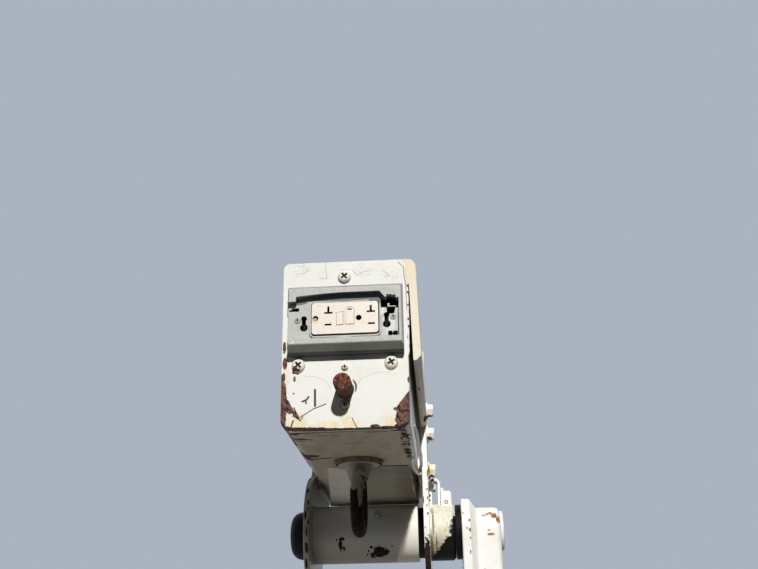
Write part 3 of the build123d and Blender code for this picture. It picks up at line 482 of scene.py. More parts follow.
def weather(coat, streaks=0.55, scars=0.9):
    """Dirt that ran down the upright faces, and rusty chips, but none of them on the front."""
    upright = coat.span(coat.math("ABSOLUTE", coat.facing(0, 0, 1)), 0.6, 0.3)
    off_front = coat.span(coat.facing(0, -1, 0), 0.8, 0.5)
    run = coat.patches(0.50, 0.74, 7, 5, 0.6, (1, 1, 9), 31.0)
    coat.tint(coat.both(coat.both(upright, off_front), run), DIRT_RUN, streaks)
    scar = coat.noise(17, 8, 0.72, shift=23.0)
    coat.tint(coat.both(off_front, coat.span(scar, 0.62, 0.70)), SCAR_RIM, 0.7)
    bare = coat.both(off_front, coat.span(scar, 0.672, 0.69))
    coat.cover(bare, coat.rust(3.0), RUST_ROUGH, 0.25, RUST_GLOSS, scars)


def flat(spots, reach=6.0):
    """Spots on the plate's face from rows of x, height and two radii."""
    return [(x, 0, h, rx, reach, rh) for x, h, rx, rh in spots]


def flat_lines(rows):
    """Strokes on the plate's face from rows of x, height, x, height and half the width."""
    return [(x0, 0, h0, x1, 0, h1, half) for x0, h0, x1, h1, half in rows]


# End plate: spots are x, height and two radii, patches their corners as x and height
PLATE_CHIPS = [
    (-61.0, 86, 1.6, 6.0), (-60.2, 69, 2.2, 6.3), (-61.0, 55, 1.4, 5.0), (-60.6, 40, 2.4, 9.0),
    (-50.0, 18.4, 2.2, 1.8), (-57.5, 3, 3.4, 2.6), (49.8, 19.2, 2.2, 1.7), (50.6, 8.0, 2.0, 3.0),
    (-50.3, 52.6, 1.3, 3.0), (63.2, 48, 1.2, 3.2), (63.6, 92.5, 0.8, 1.8), (29.2, 2.4, 4.6, 2.2),
    (52.5, 2.4, 4.2, 2.2), (-22.5, 1.6, 5.0, 1.6), (-51.0, 38, 0.8, 1.0), (40.0, 1.2, 8.0, 1.4),
]
LEFT_STRIP = [(-67.0, 60.0), (-62.2, 58.0), (-57.6, 34.0), (-57.8, 14.0), (-58.6, -2.0), (-67.0, -2.0)]
LEFT_BAND = [(-58.0, 34.0), (-43.8, 10.2), (-58.0, 19.0)]
RIGHT_PATCH = [(67.0, 42.0), (67.0, -2.0), (50.4, -2.0), (49.6, 9.0), (50.8, 21.5), (58.8, 31.5)]
PLATE_FLAKES = [(-55.0, 13.4, 3.2, 3.4), (-53.0, 16.4, 2.0, 1.4), (-57.0, 9.5, 1.6, 2.0)]
PLATE_STAIN = [
    (-45.0, 10.2, 8.0, 7.0), (-50.0, 6.4, 8.0, 5.0), (-34.0, 3.2, 14.0, 3.0), (-14.7, 5.3, 14.0, 3.6),
    (1.0, 9.7, 6.0, 9.0), (7.0, 5.0, 8.0, 5.0), (45.0, 6.2, 6.0, 5.4), (-58.0, 60.0, 2.6, 16.0),
]
PLATE_CRACKLE = [(-46.0, 170.0, 12.0, 9.0), (45.0, 163.0, 12.0, 9.0), (18.0, 166.0, 16.0, 6.0)]
PLATE_PITS = [(52.0, 48.0, 6.0, 9.0), (-30.0, 20.0, 10.0, 8.0)]

# Lines on the plate: both ends as x and height, and half the width
PLATE_SCRATCHES = [
    (-29.7, 41.0, -29.5, 24.8, 1.1), (-42.2, 29.6, -38.0, 31.2, 0.9), (-38.4, 30.8, -35.9, 34.2, 0.9),
    (-39.2, 30.5, -38.4, 27.6, 0.8), (-45.2, 13.3, -31.0, 21.8, 0.45), (-31.0, 21.8, -18.7, 26.4, 0.5),
    (6.9, 11.5, 11.7, 1.4, 0.40), (-51.0, 10.5, -52.9, 4.6, 0.7), (-50.3, 23.5, -44.1, 10.2, 0.6),
    (-44.1, 10.2, -41.0, 14.5, 0.35),
]
PLATE_LOW_EDGE = [
    (-63.0, 9.0, -60.0, 3.0, 1.6), (-60.0, 2.4, -22.0, 1.0, 2.0), (-22.0, 0.6, 0.0, 0.2, 1.6),
    (0.0, 0.2, 52.0, 0.2, 1.6), (52.0, 0.2, 61.0, 3.5, 2.0),
]
PLATE_CRACKS = [
    (-20.4, 177.4, -18.2, 160.4, 0.30), (-26.5, 159.6, -18.2, 160.0, 0.30),
    (-4.7, 168.8, 3.7, 168.9, 0.28), (7.8, 168.2, 13.0, 162.3, 0.28), (13.0, 162.3, 19.2, 165.4, 0.28),
    (19.2, 165.4, 28.6, 167.2, 0.28), (40.0, 166.7, 45.1, 160.8, 0.32), (40.9, 158.8, 47.1, 160.7, 0.32),
    (-48.7, 175.3, -40.3, 172.7, 0.28), (-50.6, 165.2, -41.2, 167.1, 0.28),
    (-41.2, 167.1, -38.0, 172.0, 0.25),
]
PLATE_EDGE_CRACK = [
    (55.8, 175.0, 61.3, 168.5, 0.45), (61.3, 168.5, 61.6, 160.0, 0.5), (61.6, 160.0, 62.9, 149.0, 0.45),
    (62.9, 149.0, 63.2, 122.0, 0.35),
]
PLATE_ARCS = [
    (-41.8, 55.8, -30.0, 54.6, 0.35), (-30.0, 54.6, -19.8, 50.9, 0.35), (-19.8, 50.9, -13.8, 42.4, 0.35),
    (12.0, 44.6, 17.1, 51.5, 0.35), (17.1, 51.5, 30.0, 56.2, 0.35), (30.0, 56.2, 46.9, 57.6, 0.35),
]
LOW_SCREW_RING = [(0, 0, 25.2, 4.9, 9, 4.9)]
CRACKLE_GREY = (0.42, 0.38, 0.33)
CRACK_GREY = (0.40, 0.36, 0.32)
ARC_GREY = (0.45, 0.43, 0.41)
PIT_GREY = (0.36, 0.35, 0.33)
SCRATCH_BROWN = (0.10, 0.05, 0.03)
YELLOW_STAIN = (1.0, 0.80, 0.44)
RING_SHADE = (0.25, 0.24, 0.22)
RUST_PIT = (0.030, 0.010, 0.009)
FOXED_FADE = (-59.5, -62.0)
FOXED_TONE = (1.0, 0.80, 0.64)


def plate_cracks(coat):
    """The crazed corners, the cracks and faint arcs in the paint, and its small pits."""
    crackle = coat.in_spots(flat(PLATE_CRACKLE), 0.5, 6, 0.3)
    coat.cover(coat.both(crackle, coat.cracks(5.0, 0.20)), CRACKLE_GREY, height=0.35, share=0.55)
    coat.cover(coat.on_lines(flat_lines(PLATE_CRACKS), 0.7, 1.5, 0.3), CRACK_GREY, height=0.3, share=0.75)
    coat.cover(coat.on_lines(flat_lines(PLATE_ARCS), 0.6, 2.0, 0.6), ARC_GREY, share=0.45)
    pitted = coat.in_spots(flat(PLATE_PITS), 0.8, 6, 0.5)
    pits = coat.patches(0.70, 0.76, 1.6, 2, 0.6, shift=4.0)
    coat.cover(coat.both(pitted, pits), PIT_GREY, height=0.2, share=0.8)


def plate_material():
    coat = base_paint("plate_enamel", grime=0.10)
    plate_cracks(coat)
    stain = coat.in_spots(flat(PLATE_STAIN), 1.3, 7, 0.6, 2.0)
    streak = coat.patches(0.30, 0.60, 3.5, 6, 0.65, (1, 1, 2.5))
    coat.tint(coat.both(stain, streak), YELLOW_STAIN, 0.85)
    edge_crack = coat.on_lines(flat_lines(PLATE_EDGE_CRACK), 0.9, 2.0, 0.4)
    coat.cover(edge_crack, CRACK_BROWN, height=0.25, share=0.85)
    coat.cover(coat.on_lines(flat_lines(PLATE_SCRATCHES), 1.0, 1.6, 0.3), SCRATCH_BROWN, 0.8, 0.2)
    flakes = coat.in_spots(flat(PLATE_FLAKES), 1.1, 2.4, 0.15, 1.0)
    shapes = [coat.within(shape) for shape in (LEFT_STRIP, LEFT_BAND, RIGHT_PATCH)]
    bare = chip(coat, flat(PLATE_CHIPS), PLATE_RUST, 0.9, 3.4, 0.6, flakes, shapes, 5.0)
    pit = coat.patches(0.54, 0.59, 5.0, 2, 0.5, shift=13.0)
    coat.cover(coat.both(bare, pit), RUST_PIT, 0.95, 0.0, share=0.85)
    coat.tint(coat.both(bare, coat.over_x(*FOXED_FADE)), FOXED_TONE, 0.6)
    worn_edges(coat, 0.8, RUST, 9.0, 0.50)
    coat.tint(coat.along_rim(LOW_SCREW_RING, 0.14, 0.05), RING_SHADE, 0.85)
    # Rust along the bottom edge, in its darkest tone also as painted shade of the edge
    low_edge = coat.on_lines(flat_lines(PLATE_LOW_EDGE), 1.5, 4.0, 0.15, 9.0)
    coat.cover(low_edge, coat.rust(2.0, DARK_RUST), 0.85, 0.2)
    return coat.done(0.5)


# Outlet: spots are x, depth, height and three radii, the facet's painted highlight its two ends and half its
# width
BASE_GREY = (0.50, 0.505, 0.48)
BASE_FLOOR = -11.0
BASE_TOP_FADE = (142.6, 143.2)
BASE_DARK = [(0, -11, 137, 50, 6.0, 8.5), (-46, -11, 130, 9, 6.0, 3.0), (33, -11, 131, 8, 6.0, 7.0)]
BASE_BLEACH = [(46, -11, 106, 6.5, 3, 14.0), (53.6, -18, 117, 1.8, 8, 4.0), (39, -11, 118, 2.6, 3, 5.0)]
BASE_FACET_HIGHLIGHT = [(-55.5, -14, 80.5, -49.5, -18, 86.0, 1.2)]
CHALKED = (0.66, 0.66, 0.62)
BLEACHED = (0.72, 0.74, 0.78)
BASE_TOP_SHADE = (0.66, 0.67, 0.70)
BASE_LOW_SHADE = (0.46, 0.47, 0.41)
RECESS_SHADE = (0.16, 0.16, 0.17)
HOLE_SHADE = (0.10, 0.10, 0.10)


def grey_plastic():
    coat = Coat("outlet_grey", BASE_GREY, 0.55, 0.5)
    coat.tint(coat.patches(0.42, 0.66, 5, 7, 0.75), (0.80, 0.81, 0.80), 0.8)
    coat.cover(coat.patches(0.64, 0.70, 2.4, 5, 0.7, shift=6.0), CHALKED, share=0.6)
    coat.relief(0.9, 3, 0.25)
    coat.cover(coat.in_spots(BASE_BLEACH, 0.8, 4, 0.3), BLEACHED, share=0.75)
    # Painted highlight: a pale stroke where the lower and left bevels meet
    coat.cover(coat.on_lines(BASE_FACET_HIGHLIGHT, 0.4, 3, 0.3), CHALKED)
    coat.tint(coat.over_height(*BASE_TOP_FADE), BASE_TOP_SHADE)
    coat.tint(coat.span(coat.facing(0, 0, -1), 0.15, 0.45), BASE_LOW_SHADE, 0.9)
    coat.tint(coat.in_spots(BASE_DARK, 0.2, 4, 0.12), RECESS_SHADE, 0.9)
    coat.tint(coat.over_depth(BASE_FLOOR + 0.4, BASE_FLOOR + 1.2), HOLE_SHADE, 0.95)
    return coat.done(0.12)


IVORY = (0.83, 0.76, 0.68)
DEVICE_FACE = -15.0
GROUND_LEFT = [(-29.4, -13, 109.4, 4.8, 5, 4.4)]
GROUND_STAIN = (0.98, 0.78, 0.50)
SPECK_BROWN = (0.46, 0.39, 0.31)
SLOT_PAINTED_SHADE = (0.022, 0.016, 0.014)


def ivory_plastic():
    coat = Coat("device_ivory", IVORY, 0.38, 0.4)
    coat.tint(coat.patches(0.55, 0.75, 1.4, 4, 0.7), (0.78, 0.72, 0.66), 0.6)
    coat.tint(coat.patches(0.5, 0.8, 5, 6, 0.7), (0.86, 0.80, 0.72), 0.5)
    coat.tint(coat.in_spots(GROUND_LEFT, 0.8, 3, 0.4), GROUND_STAIN, 0.8)
    coat.cover(coat.patches(0.60, 0.66, 1.1, 2, 0.6, shift=9.0), SPECK_BROWN, share=0.55)
    # Painted shade: black in the slots and holes below the face
    coat.cover(coat.over_depth(DEVICE_FACE + 0.15, DEVICE_FACE + 0.6), SLOT_PAINTED_SHADE, 0.7)
    return coat.done(0.05)


# Side cover: its lower edge falls towards the back
COVER_FALL = 10.0 / 241.0
COVER_BEVEL_SHADE_FADE = (3.0, 3.3)
COVER_UNDERSIDE_SHADE_FADE = (68.6, 68.2)
COVER_TOP_FADE = (150, 175)
COVER_CRACK = [(63.6, 2, 172.0, 66.5, 2, 170.0, 0.5), (66.5, 2, 170.0, 71.5, 2, 173.5, 0.45)]
COVER_CHIPS = [(71.5, 92, 65, 0.9, 5, 2), (75, 215, 62, 2.5, 12, 4)]


def side_cover_paint():
    coat = base_paint("cover_cream", CREAM, grime=0.15)
    coat.tint(coat.over_height(*COVER_TOP_FADE), (1.0, 0.93, 0.80), 0.7)
    # Painted shade: the lower bevel and the underside are darker and warmer, unevenly
    bevel = coat.span(coat.axis(1, -COVER_FALL, -1), *COVER_BEVEL_SHADE_FADE)
    below = coat.span(coat.axis(0, COVER_FALL, 1), *COVER_UNDERSIDE_SHADE_FADE)
    low = coat.math("MAXIMUM", bevel, below)
    coat.tint(low, (1.0, 0.96, 0.88), 0.9)
    coat.tint(coat.both(low, coat.patches(0.45, 0.65, 9, 5, 0.65, (1, 3, 1))), (0.90, 0.82, 0.70), 0.8)
    coat.cover(coat.on_lines(COVER_CRACK, 0.8, 1.5, 0.3), CRACK_BROWN, height=0.25, share=0.7)
    weather(coat, 0.35, 0.8)
    chip(coat, COVER_CHIPS, DARK_RUST, halo=0.7)
    specks(coat, 3.0, 0.72, (0.45, 0.34, 0.22), 0.6)
    return coat.done(0.25)


# Tube: streaks are two ends and half the width, spots x, depth, height and three radii
UNDER_FADE = (10.0, 3.0)
TUBE_STREAKS = [
    (-56.5, 30, 1, -38, 38.5, 0, 1.6), (-57, 40, 1, -46, 44, 0, 1.2), (-58.5, 104, 1, -52.8, 135, 0, 4.0),
    (-52.8, 133, 0, -31.9, 128, 0, 2.2), (-55, 110, 0, -42, 114, 0, 2.6), (-50, 9, 0, -20, 7, 0, 1.6),
    (-16, 8, 0, 48, 5, 0, 1.3), (20, 13, 0, 40, 12, 0, 1.2), (-57, 20, 2, -59, 70, 2, 1.4),
    (-60, 120, 3, -62, 250, 6, 1.4), (-8, 60, 0, 14, 58, 0, 0.6), (-30, 22, 0, -8, 24, 0, 0.7),
]
TUBE_CHIPS = [
    (-55, 120, 0, 5, 12, 4), (-50, 34, 0, 6, 3.5, 3), (-53, 12, 0, 7, 5, 4), (-33, 128, 0, 6, 2.6, 3),
    (-58, 60, 2, 2, 12, 3), (-60, 170, 4, 2, 20, 3), (-61, 260, 8, 3, 18, 5), (-46, 118, 0, 5, 5, 3),
    (56, 26, 1, 3.0, 10, 4), (57, 52, 2, 2.6, 12, 4), (57, 84, 2, 3.0, 14, 4), (60, 300, 6, 3, 14, 4),
    (-44, 7, 0, 8, 4, 3), (50, 8, 0, 7, 3, 3),
]
PAD_SHADE = [(0, 150, 0, 28.6, 28.6, 6)]
BEYOND_GUSSET_GRIME_AND_SHADE = [(64, 236, 0, 8, 40, 9)]
TUBE_SIDES = (63.5, -63.5)
BOLT_DEPTHS = (490, 535)
BOLT_HEIGHTS = (139, 39)
RUN_BELOW, RUN_LONG, RUN_HALF = 8, 26, 2.4
BOLT_RUNS = [
    (side, d, h - RUN_BELOW, RUN_LONG, RUN_HALF)
    for side in TUBE_SIDES for d in BOLT_DEPTHS for h in BOLT_HEIGHTS
]
UNDER_GRIME_AND_SHADE = (0.68, 0.60, 0.46)
STREAK_STAIN = (0.62, 0.40, 0.22)
DASH_BROWN = (0.16, 0.11, 0.07)
WELD_SHADE = (0.05, 0.032, 0.02)


def tube_paint():
    coat = base_paint("tube_enamel", grime=0.3)
    # The underside is darker and browner: grime and painted shade together
    below = coat.over_height(*UNDER_FADE)
    coat.tint(below, UNDER_GRIME_AND_SHADE, 0.85)
    coat.tint(coat.both(below, coat.patches(0.42, 0.68, 16, 6, 0.65, (1, 3, 1))), (0.76, 0.67, 0.52), 0.8)
    dashes = coat.patches(0.64, 0.70, 2.6, 4, 0.6, (3.5, 1, 1), 21.0)
    coat.cover(coat.both(below, dashes), DASH_BROWN, share=0.55)
    coat.tint(coat.on_lines(TUBE_STREAKS, 2.6, 9, 0.9, 6.0), STREAK_STAIN, 0.7)
    coat.cover(coat.on_lines(TUBE_STREAKS, 1.8, 6, 0.4, 3.0), coat.rust(4, DARK_RUST), 0.85, share=0.85)
    coat.cover(coat.in_spots(PAD_SHADE, 0.25, 9, 0.10), WELD_SHADE, share=0.85)
    # Darker on the tube beside the gusset, near the right cheek: painted shade with grime
    coat.tint(coat.in_spots(BEYOND_GUSSET_GRIME_AND_SHADE, 0.6, 6, 0.4), (0.55, 0.48, 0.40), 0.9)
    chip(coat, TUBE_CHIPS, RUST, 2.0, 8.0, 0.9)
    coat.tint(coat.runs_down(BOLT_RUNS), RUN_STAIN, 0.6)
    weather(coat)
    worn_edges(coat, 0.9)
    specks(coat, 7.0, 0.72)
    return coat.done(0.35)


# Cheeks: chips are x, depth, height and three radii, runs x, depth, height, length and half width
CHEEK_CHIPS = [
    (73.6, 243, -17, 0.9, 4, 1.0), (73.9, 243, -27, 0.7, 4, 1.6), (72.9, 243, -36, 0.8, 4, 1.1),
    (73.4, 243, -46, 1.0, 4, 2.2), (70.0, 244, -62, 0.8, 5, 2.0), (74.4, 246, -72, 0.7, 7, 3.0),
    (72.2, 258, -100, 5.2, 40, 28.0), (70.2, 250, -74, 1.6, 12, 4.0), (69.0, 243, 22, 0.6, 4, 5),
    (74.6, 243, 2, 0.5, 4, 4.0), (69.0, 243, -30, 0.5, 4, 5),
    (-72, 270, -12, 1.3, 60, 4), (-72.6, 270, -44, 1.5, 60, 6), (-70.6, 270, -63, 1.3, 60, 7),
    (-71, 270, -81, 2.0, 60, 7), (-69.4, 270, -52, 0.9, 60, 4), (-73, 300, 8, 1.2, 60, 4),
    (-70, 270, -28, 1.0, 60, 3), (-72.0, 275, -98, 1.6, 60, 6), (-70.4, 270, -36, 0.8, 60, 2),
]
CHEEK_RUNS = [(75, 280, 80, 40, 1.8), (75, 280, 50, 34, 2.0), (75, 280, 5, 26, 2.4), (75, 430, 150, 60, 2.0)]
CHEEK_WHITE = (0.93, 0.93, 0.90)
INNER_FADES = (-69.0, -68.7), (-60, -61)
INNER_SHADE = (0.30, 0.275, 0.21)
RIM_FADES = (-74.5, -73.9), (-68.4, -68.7)
RIM_SHADE = (0.58, 0.54, 0.45)


def cheek_paint():
    coat = base_paint("cheek_enamel", CHEEK_WHITE, grime=0.08)
    coat.tint(coat.between_x(*INNER_FADES), INNER_SHADE, 0.9)
    coat.tint(coat.between_x(*RIM_FADES), RIM_SHADE, 0.9)
    coat.tint(coat.runs_down(CHEEK_RUNS), RUN_STAIN, 0.6)
    weather(coat)
    flat_side = coat.span(coat.math("ABSOLUTE", coat.facing(1, 0, 0)), 0.75, 0.9)
    chip(coat, CHEEK_CHIPS, DARK_RUST, 1.5, 2.5, 0.7, flat_side)
    worn_edges(coat, 0.85, grain=5.0, bare=0.55)
    specks(coat, 6.0, 0.72)
    return coat.done(0.35)


# Pivot tube: chips and grease are x, depth, height and three radii
PIVOT_GREY = (0.68, 0.69, 0.67)
PIVOT_LOW_SHADE_FADE = (-70, -90)
SUNLIT_END_LINE = (1, 0, -0.30)
SUNLIT_END_FADE = (60.0, 62.5)
SUNLIT_END_TONE = (0.84, 0.81, 0.73)
END_GREASE_FADE = (60.3, 60.8)
PIVOT_CHIPS = [
    (-34.5, 282, -74, 2.4, 12, 7.5), (-32.0, 282, -68, 3.0, 12, 2.2), (-38.8, 282, -69, 1.3, 12, 1.3),
    (-30.5, 282, -79, 1.6, 12, 3.0),
]
PIVOT_GREASE = [
    (12.3, 282, -85.0, 8.0, 14, 7.6), (4.6, 282, -88.0, 4.8, 12, 4.4), (2.7, 282, -78.1, 1.9, 12, 1.5),
    (-0.5, 282, -82.4, 1.2, 12, 1.1), (20.4, 282, -79.6, 1.0, 12, 0.8), (16.0, 282, -90.4, 2.8, 12, 2.2),
    (-2.3, 282, -86.2, 1.4, 12, 1.4), (28.2, 282, -77.6, 1.0, 12, 1.0), (18.3, 282, -84.4, 6.0, 12, 4.0),
    (9.0, 282, -92.0, 9.5, 12, 4.0), (23.5, 282, -83.0, 2.0, 12, 1.4),
]


def pivot_paint():
    coat = base_paint("pivot_enamel", PIVOT_GREY, grime=0.2)
    # Painted shade: the lower part is darker and browner
    coat.tint(coat.over_height(*PIVOT_LOW_SHADE_FADE), (0.66, 0.59, 0.46), 0.85)
    # Painted sunlight: paler and creamier past a slanted line on the right end, where a shadow's edge falls
    coat.cover(coat.span(coat.axis(*SUNLIT_END_LINE), *SUNLIT_END_FADE), SUNLIT_END_TONE, share=0.95)
    chip(coat, PIVOT_CHIPS, DARK_RUST, 1.5, 3.0, 0.8)
    specks(coat, 8.0, 0.72)
    coat.cover(coat.in_spots(PIVOT_GREASE, 1.1, 4.0, 0.10, 2.0), GREASE, 0.65, 0.7, 0.08)
    coat.cover(coat.over_x(*END_GREASE_FADE), GREASE, 0.6, 0.5, 0.15)
    return coat.done(0.8)


# Hub: grease lies past a slanted line that bends in below, in x and height
HUB_STREAKS = [
    (79, 285, -50, 1.3, 30, 17), (76.6, 290, -78, 2.0, 30, 16), (80, 295, -92, 6, 30, 6),
    (82.5, 290, -74, 0.9, 30, 12), (86, 280, -30, 2.0, 12, 3), (77, 280, -34, 1.0, 12, 7),
]
GREASE_LINE = (1.0, 0.0, -0.323)
GREASE_LINE_AT = 118.8
LOW_GREASE_LINE = (1.0, 0.0, -0.873)
LOW_GREASE_SHIFT = -37.4
GREASE_SOFT = 0.8
GREASE_SPATTER = 14.0
GREASE_WAVE = 22.0
BARE_DAB = [(98.5, 279, -66.5, 2.0, 14, 1.8)]
HUB_SHADE_LINE = (-0.5, 0, -1)
HUB_SHADE_FADE = (18, 44)


def hub_paint():
    coat = base_paint("hub_cream", HUB_CREAM, grime=0.15)
    coat.tint(coat.span(coat.axis(*HUB_SHADE_LINE), *HUB_SHADE_FADE), (0.52, 0.45, 0.36), 0.9)
    coat.tint(coat.patches(0.46, 0.66, 4.5, 7, 0.75, (1, 1, 1.6), 14.0), (0.84, 0.76, 0.62), 0.8)
    specks(coat, 2.6, 0.62, (0.26, 0.19, 0.12), 0.6)
    coat.cover(coat.in_spots(HUB_STREAKS, 1.5, 4, 0.4, 4.0), (0.10, 0.075, 0.05), 0.7, share=0.8)
    low = coat.math("ADD", coat.axis(*LOW_GREASE_LINE), LOW_GREASE_SHIFT)
    side = coat.math("MAXIMUM", coat.axis(*GREASE_LINE), low)
    wave = coat.math("MULTIPLY_ADD", coat.noise(6, 7, 0.78), GREASE_WAVE, -GREASE_WAVE / 2)
    side = coat.math("ADD", side, wave)
    greasy = coat.span(side, GREASE_LINE_AT - GREASE_SOFT, GREASE_LINE_AT + GREASE_SOFT)
    near = coat.span(side, GREASE_LINE_AT - GREASE_SPATTER, GREASE_LINE_AT)
    spatter = coat.both(near, coat.patches(0.58, 0.61, 3.2, 5, 0.7, shift=8.0))
    coat.cover(coat.math("MAXIMUM", greasy, spatter), GREASE, 0.5, 0.9, 0.12)
    coat.cover(coat.in_spots(BARE_DAB, 0.8, 2, 0.15), HUB_CREAM, 0.6)
    return coat.done(0.6)


# Strap and lug: x, depth, height and three radii
STRAP_WHITE = (0.86, 0.86, 0.85)
STRAP_CHIPS = [
    (75.6, 297, -15, 1.4, 20, 2.0), (76, 297, -21, 1.2, 20, 1.2), (80, 297, 4, 2, 20, 0.9),
    (96, 294, -24.5, 2.4, 8, 2.2),
]
LUG_RING_MIDDLE = [(96, 294, -24.5, 1.5, 9, 1.4)]


def strap_paint():
    coat = base_paint("strap_enamel", STRAP_WHITE, grime=0.06)
    chip(coat, STRAP_CHIPS, DARK_RUST, 0.9, 2.0, 0.4, coat.in_spots(LUG_RING_MIDDLE, 0.3, 2))
    worn_edges(coat, 0.6)
    return coat.done(0.3)


# Bracket: x, depth, height and three radii
BRACKET_WHITE = (0.87, 0.87, 0.845)
BRACKET_CHIPS = [
    (121.8, 271, -30.2, 1.5, 6, 1.9), (115.8, 271, -40.8, 1.3, 6, 1.9), (123.1, 272, -50.5, 1.2, 6, 1.5),
    (123.1, 272, -62.3, 1.2, 6, 2.2), (123.2, 272, -71.7, 0.9, 6, 1.5), (119.6, 271, -59.9, 1.0, 6, 1.1),
    (140.1, 283, -43.4, 3.1, 8, 1.2), (148.9, 283, -40.1, 3.6, 8, 3.0), (153.6, 283, -42.6, 4.2, 8, 4.2),
    (158.0, 283, -48.7, 2.6, 9, 4.8), (145.1, 283, -41.2, 2.5, 8, 2.4), (148.5, 283, -66.2, 4.2, 8, 1.6),
    (146.3, 283, -61.5, 1.8, 8, 0.9), (122.6, 271, -88, 0.8, 6, 2.0), (139, 283, -110, 2.0, 8, 4.0),
]


def bracket_paint():
    coat = base_paint("bracket_enamel", BRACKET_WHITE, grime=0.06)
    weather(coat, 0.35, 0.8)
    chip(coat, BRACKET_CHIPS, ORANGE_RUST, 1.4, 3.0, 0.7)
    worn_edges(coat, 0.5)
    specks(coat, 6.0, 0.74, (0.3, 0.2, 0.13), 0.6)
    return coat.done(0.35)


# Gusset: bright on the left, then dark as painted shade, with paler lines as painted highlights along its
# edges, and scuffs
GUSSET_WHITE = (0.94, 0.93, 0.88)
GUSSET_MIDDLE_SHADE_FADE = (-8, 4)
GUSSET_RIGHT_SHADE_FADE = (24, 58)
GUSSET_EDGE_HIGHLIGHTS = [(-38.0, 177, -1, -49.0, 306, -24, 0.9), (-38.0, 177, -0.5, -20.0, 177, -0.5, 0.8)]
GUSSET_SCUFFS = [(58, 240, -18, 2.2, 22, 7), (56, 225, -6, 1.6, 10, 2)]


def gusset_paint():
    coat = base_paint("gusset_enamel", GUSSET_WHITE, grime=0.15)
    # Painted shade: darker towards the right cheek
    coat.tint(coat.over_x(*GUSSET_MIDDLE_SHADE_FADE), (0.42, 0.40, 0.36), 0.9)
    coat.tint(coat.over_x(*GUSSET_RIGHT_SHADE_FADE), (0.36, 0.30, 0.22), 0.9)
    # Painted highlight: pale lines along the front and left edges
    coat.cover(coat.on_lines(GUSSET_EDGE_HIGHLIGHTS, 0.6, 3, 0.4), (0.86, 0.86, 0.82), share=0.8)
    coat.tint(coat.patches(0.5, 0.7, 9, 6, 0.7, (2.5, 1, 1)), (0.70, 0.62, 0.50), 0.7)
    coat.cover(coat.in_spots(GUSSET_SCUFFS, 1.6, 3, 0.15), (0.62, 0.60, 0.56), share=0.8)
    worn_edges(coat, 0.5)
    specks(coat, 7.0, 0.72)
    return coat.done(0.3)


# Eye and its pad
EYE_GREY = (0.60, 0.56, 0.48)
EYE_BARE_FADE = (-19.0, -22.0)
EYE_PAINT = [(-1.5, 118, -28.0, 9.0, 60, 9.5), (4.0, 116, -40.0, 2.6, 30, 13.5)]
EYE_GLEAM = [(5.4, 113, -50.0, 5.6, 113, -60.0, 0.5), (5.6, 113, -60.0, 5.4, 124, -74.0, 0.4)]


def eye_paint():
    coat = base_paint("eye_enamel", EYE_GREY, 0.7, grime=0.4)
    coat.gloss = 0.12
    coat.tint(coat.patches(0.48, 0.62, 4, 6, 0.7), (0.62, 0.54, 0.42), 0.8)
    # Paint left on the ring, and a painted highlight: a pale stroke down its right side that the rust spares
    paint_and_gleam_far = coat.nearest([coat.spots(EYE_PAINT), coat.strokes(EYE_GLEAM)])
    paint_and_gleam = coat.inside(paint_and_gleam_far, 1.0, 5, 0.12, 6.0)
    bare = coat.math("SUBTRACT", coat.over_height(*EYE_BARE_FADE), paint_and_gleam, clamp=True)
    pitted = coat.both(coat.noise(1.5, 6), 0.4)
    coat.cover(bare, coat.rust(6.0, EYE_RUST), 0.8, pitted, 0.08)
    specks(coat, 3.0, 0.64, (0.03, 0.018, 0.012))
    return coat.done(0.5)


PAD_GREY = (0.60, 0.57, 0.49)
PAD_FACE = [(0, 150, -2, 24.5, 24.5, 60)]
PAD_RIM_SHADE = (0.035, 0.024, 0.015)


def pad_paint():
    coat = base_paint("pad_enamel", PAD_GREY, grime=0.4)
    side = coat.math("SUBTRACT", 1.0, coat.in_spots(PAD_FACE, 0.12, 6, 0.02))
    coat.cover(side, coat.rust(7, PAD_RUST), RUST_ROUGH, 0.3, 0.1, 0.9)
    coat.cover(coat.along_rim(PAD_FACE, 0.07, 0.02), PAD_RIM_SHADE, RUST_ROUGH, share=0.85)
    return coat.done(0.3)


# Rusted pieces
STUD_SHANK_FADE = (-28.5, -24.0)
STUD_SHADE = (0.22, 0.17, 0.16)


def rusty(name, tone=RUST, grain=2.6, depth=0.9, shaded=0.0):
    """Rust all over. shaded is how much darker the stud's shank is than its face."""
    coat = Coat(name, (0.1, 0.04, 0.02), 0.88, 0.8)
    coat.colour = coat.rust(grain, tone)
    coat.height = coat.noise(1.5, 7, 0.75)
    if shaded:
        coat.tint(coat.over_depth(*STUD_SHANK_FADE), STUD_SHADE, shaded)
    return coat.done(depth)


# Screws: their slots' radius and floor, and the heads as x and height
PAN_SLOTS = (3.9, -3.6, [(0, 160.6), (-46.5, 66.4), (46.5, 66.4)])
SMALL_SLOTS = (2.2, -2.1, [(0, 63.5), (0, 25.2)])
OUTLET_SLOTS = (1.9, -12.0, [(-46.6, 110.7), (50.0, 111.1)])
PAN_CHIP = [(46.8, 66.0, 62.0, 2.2, 10, 0.9)]
PAN_STAINS = [(44, 0, 64.5, 3, 12, 1.4), (-45, 0, 62, 3, 12, 2)]
SMALL_STAINS = [(0.6, 0, 60.6, 3.6, 12, 1.8), (-3.2, 0, 62.0, 1.4, 12, 2.0)]
LOW_SCREW_FADE = (45.0, 40.0)


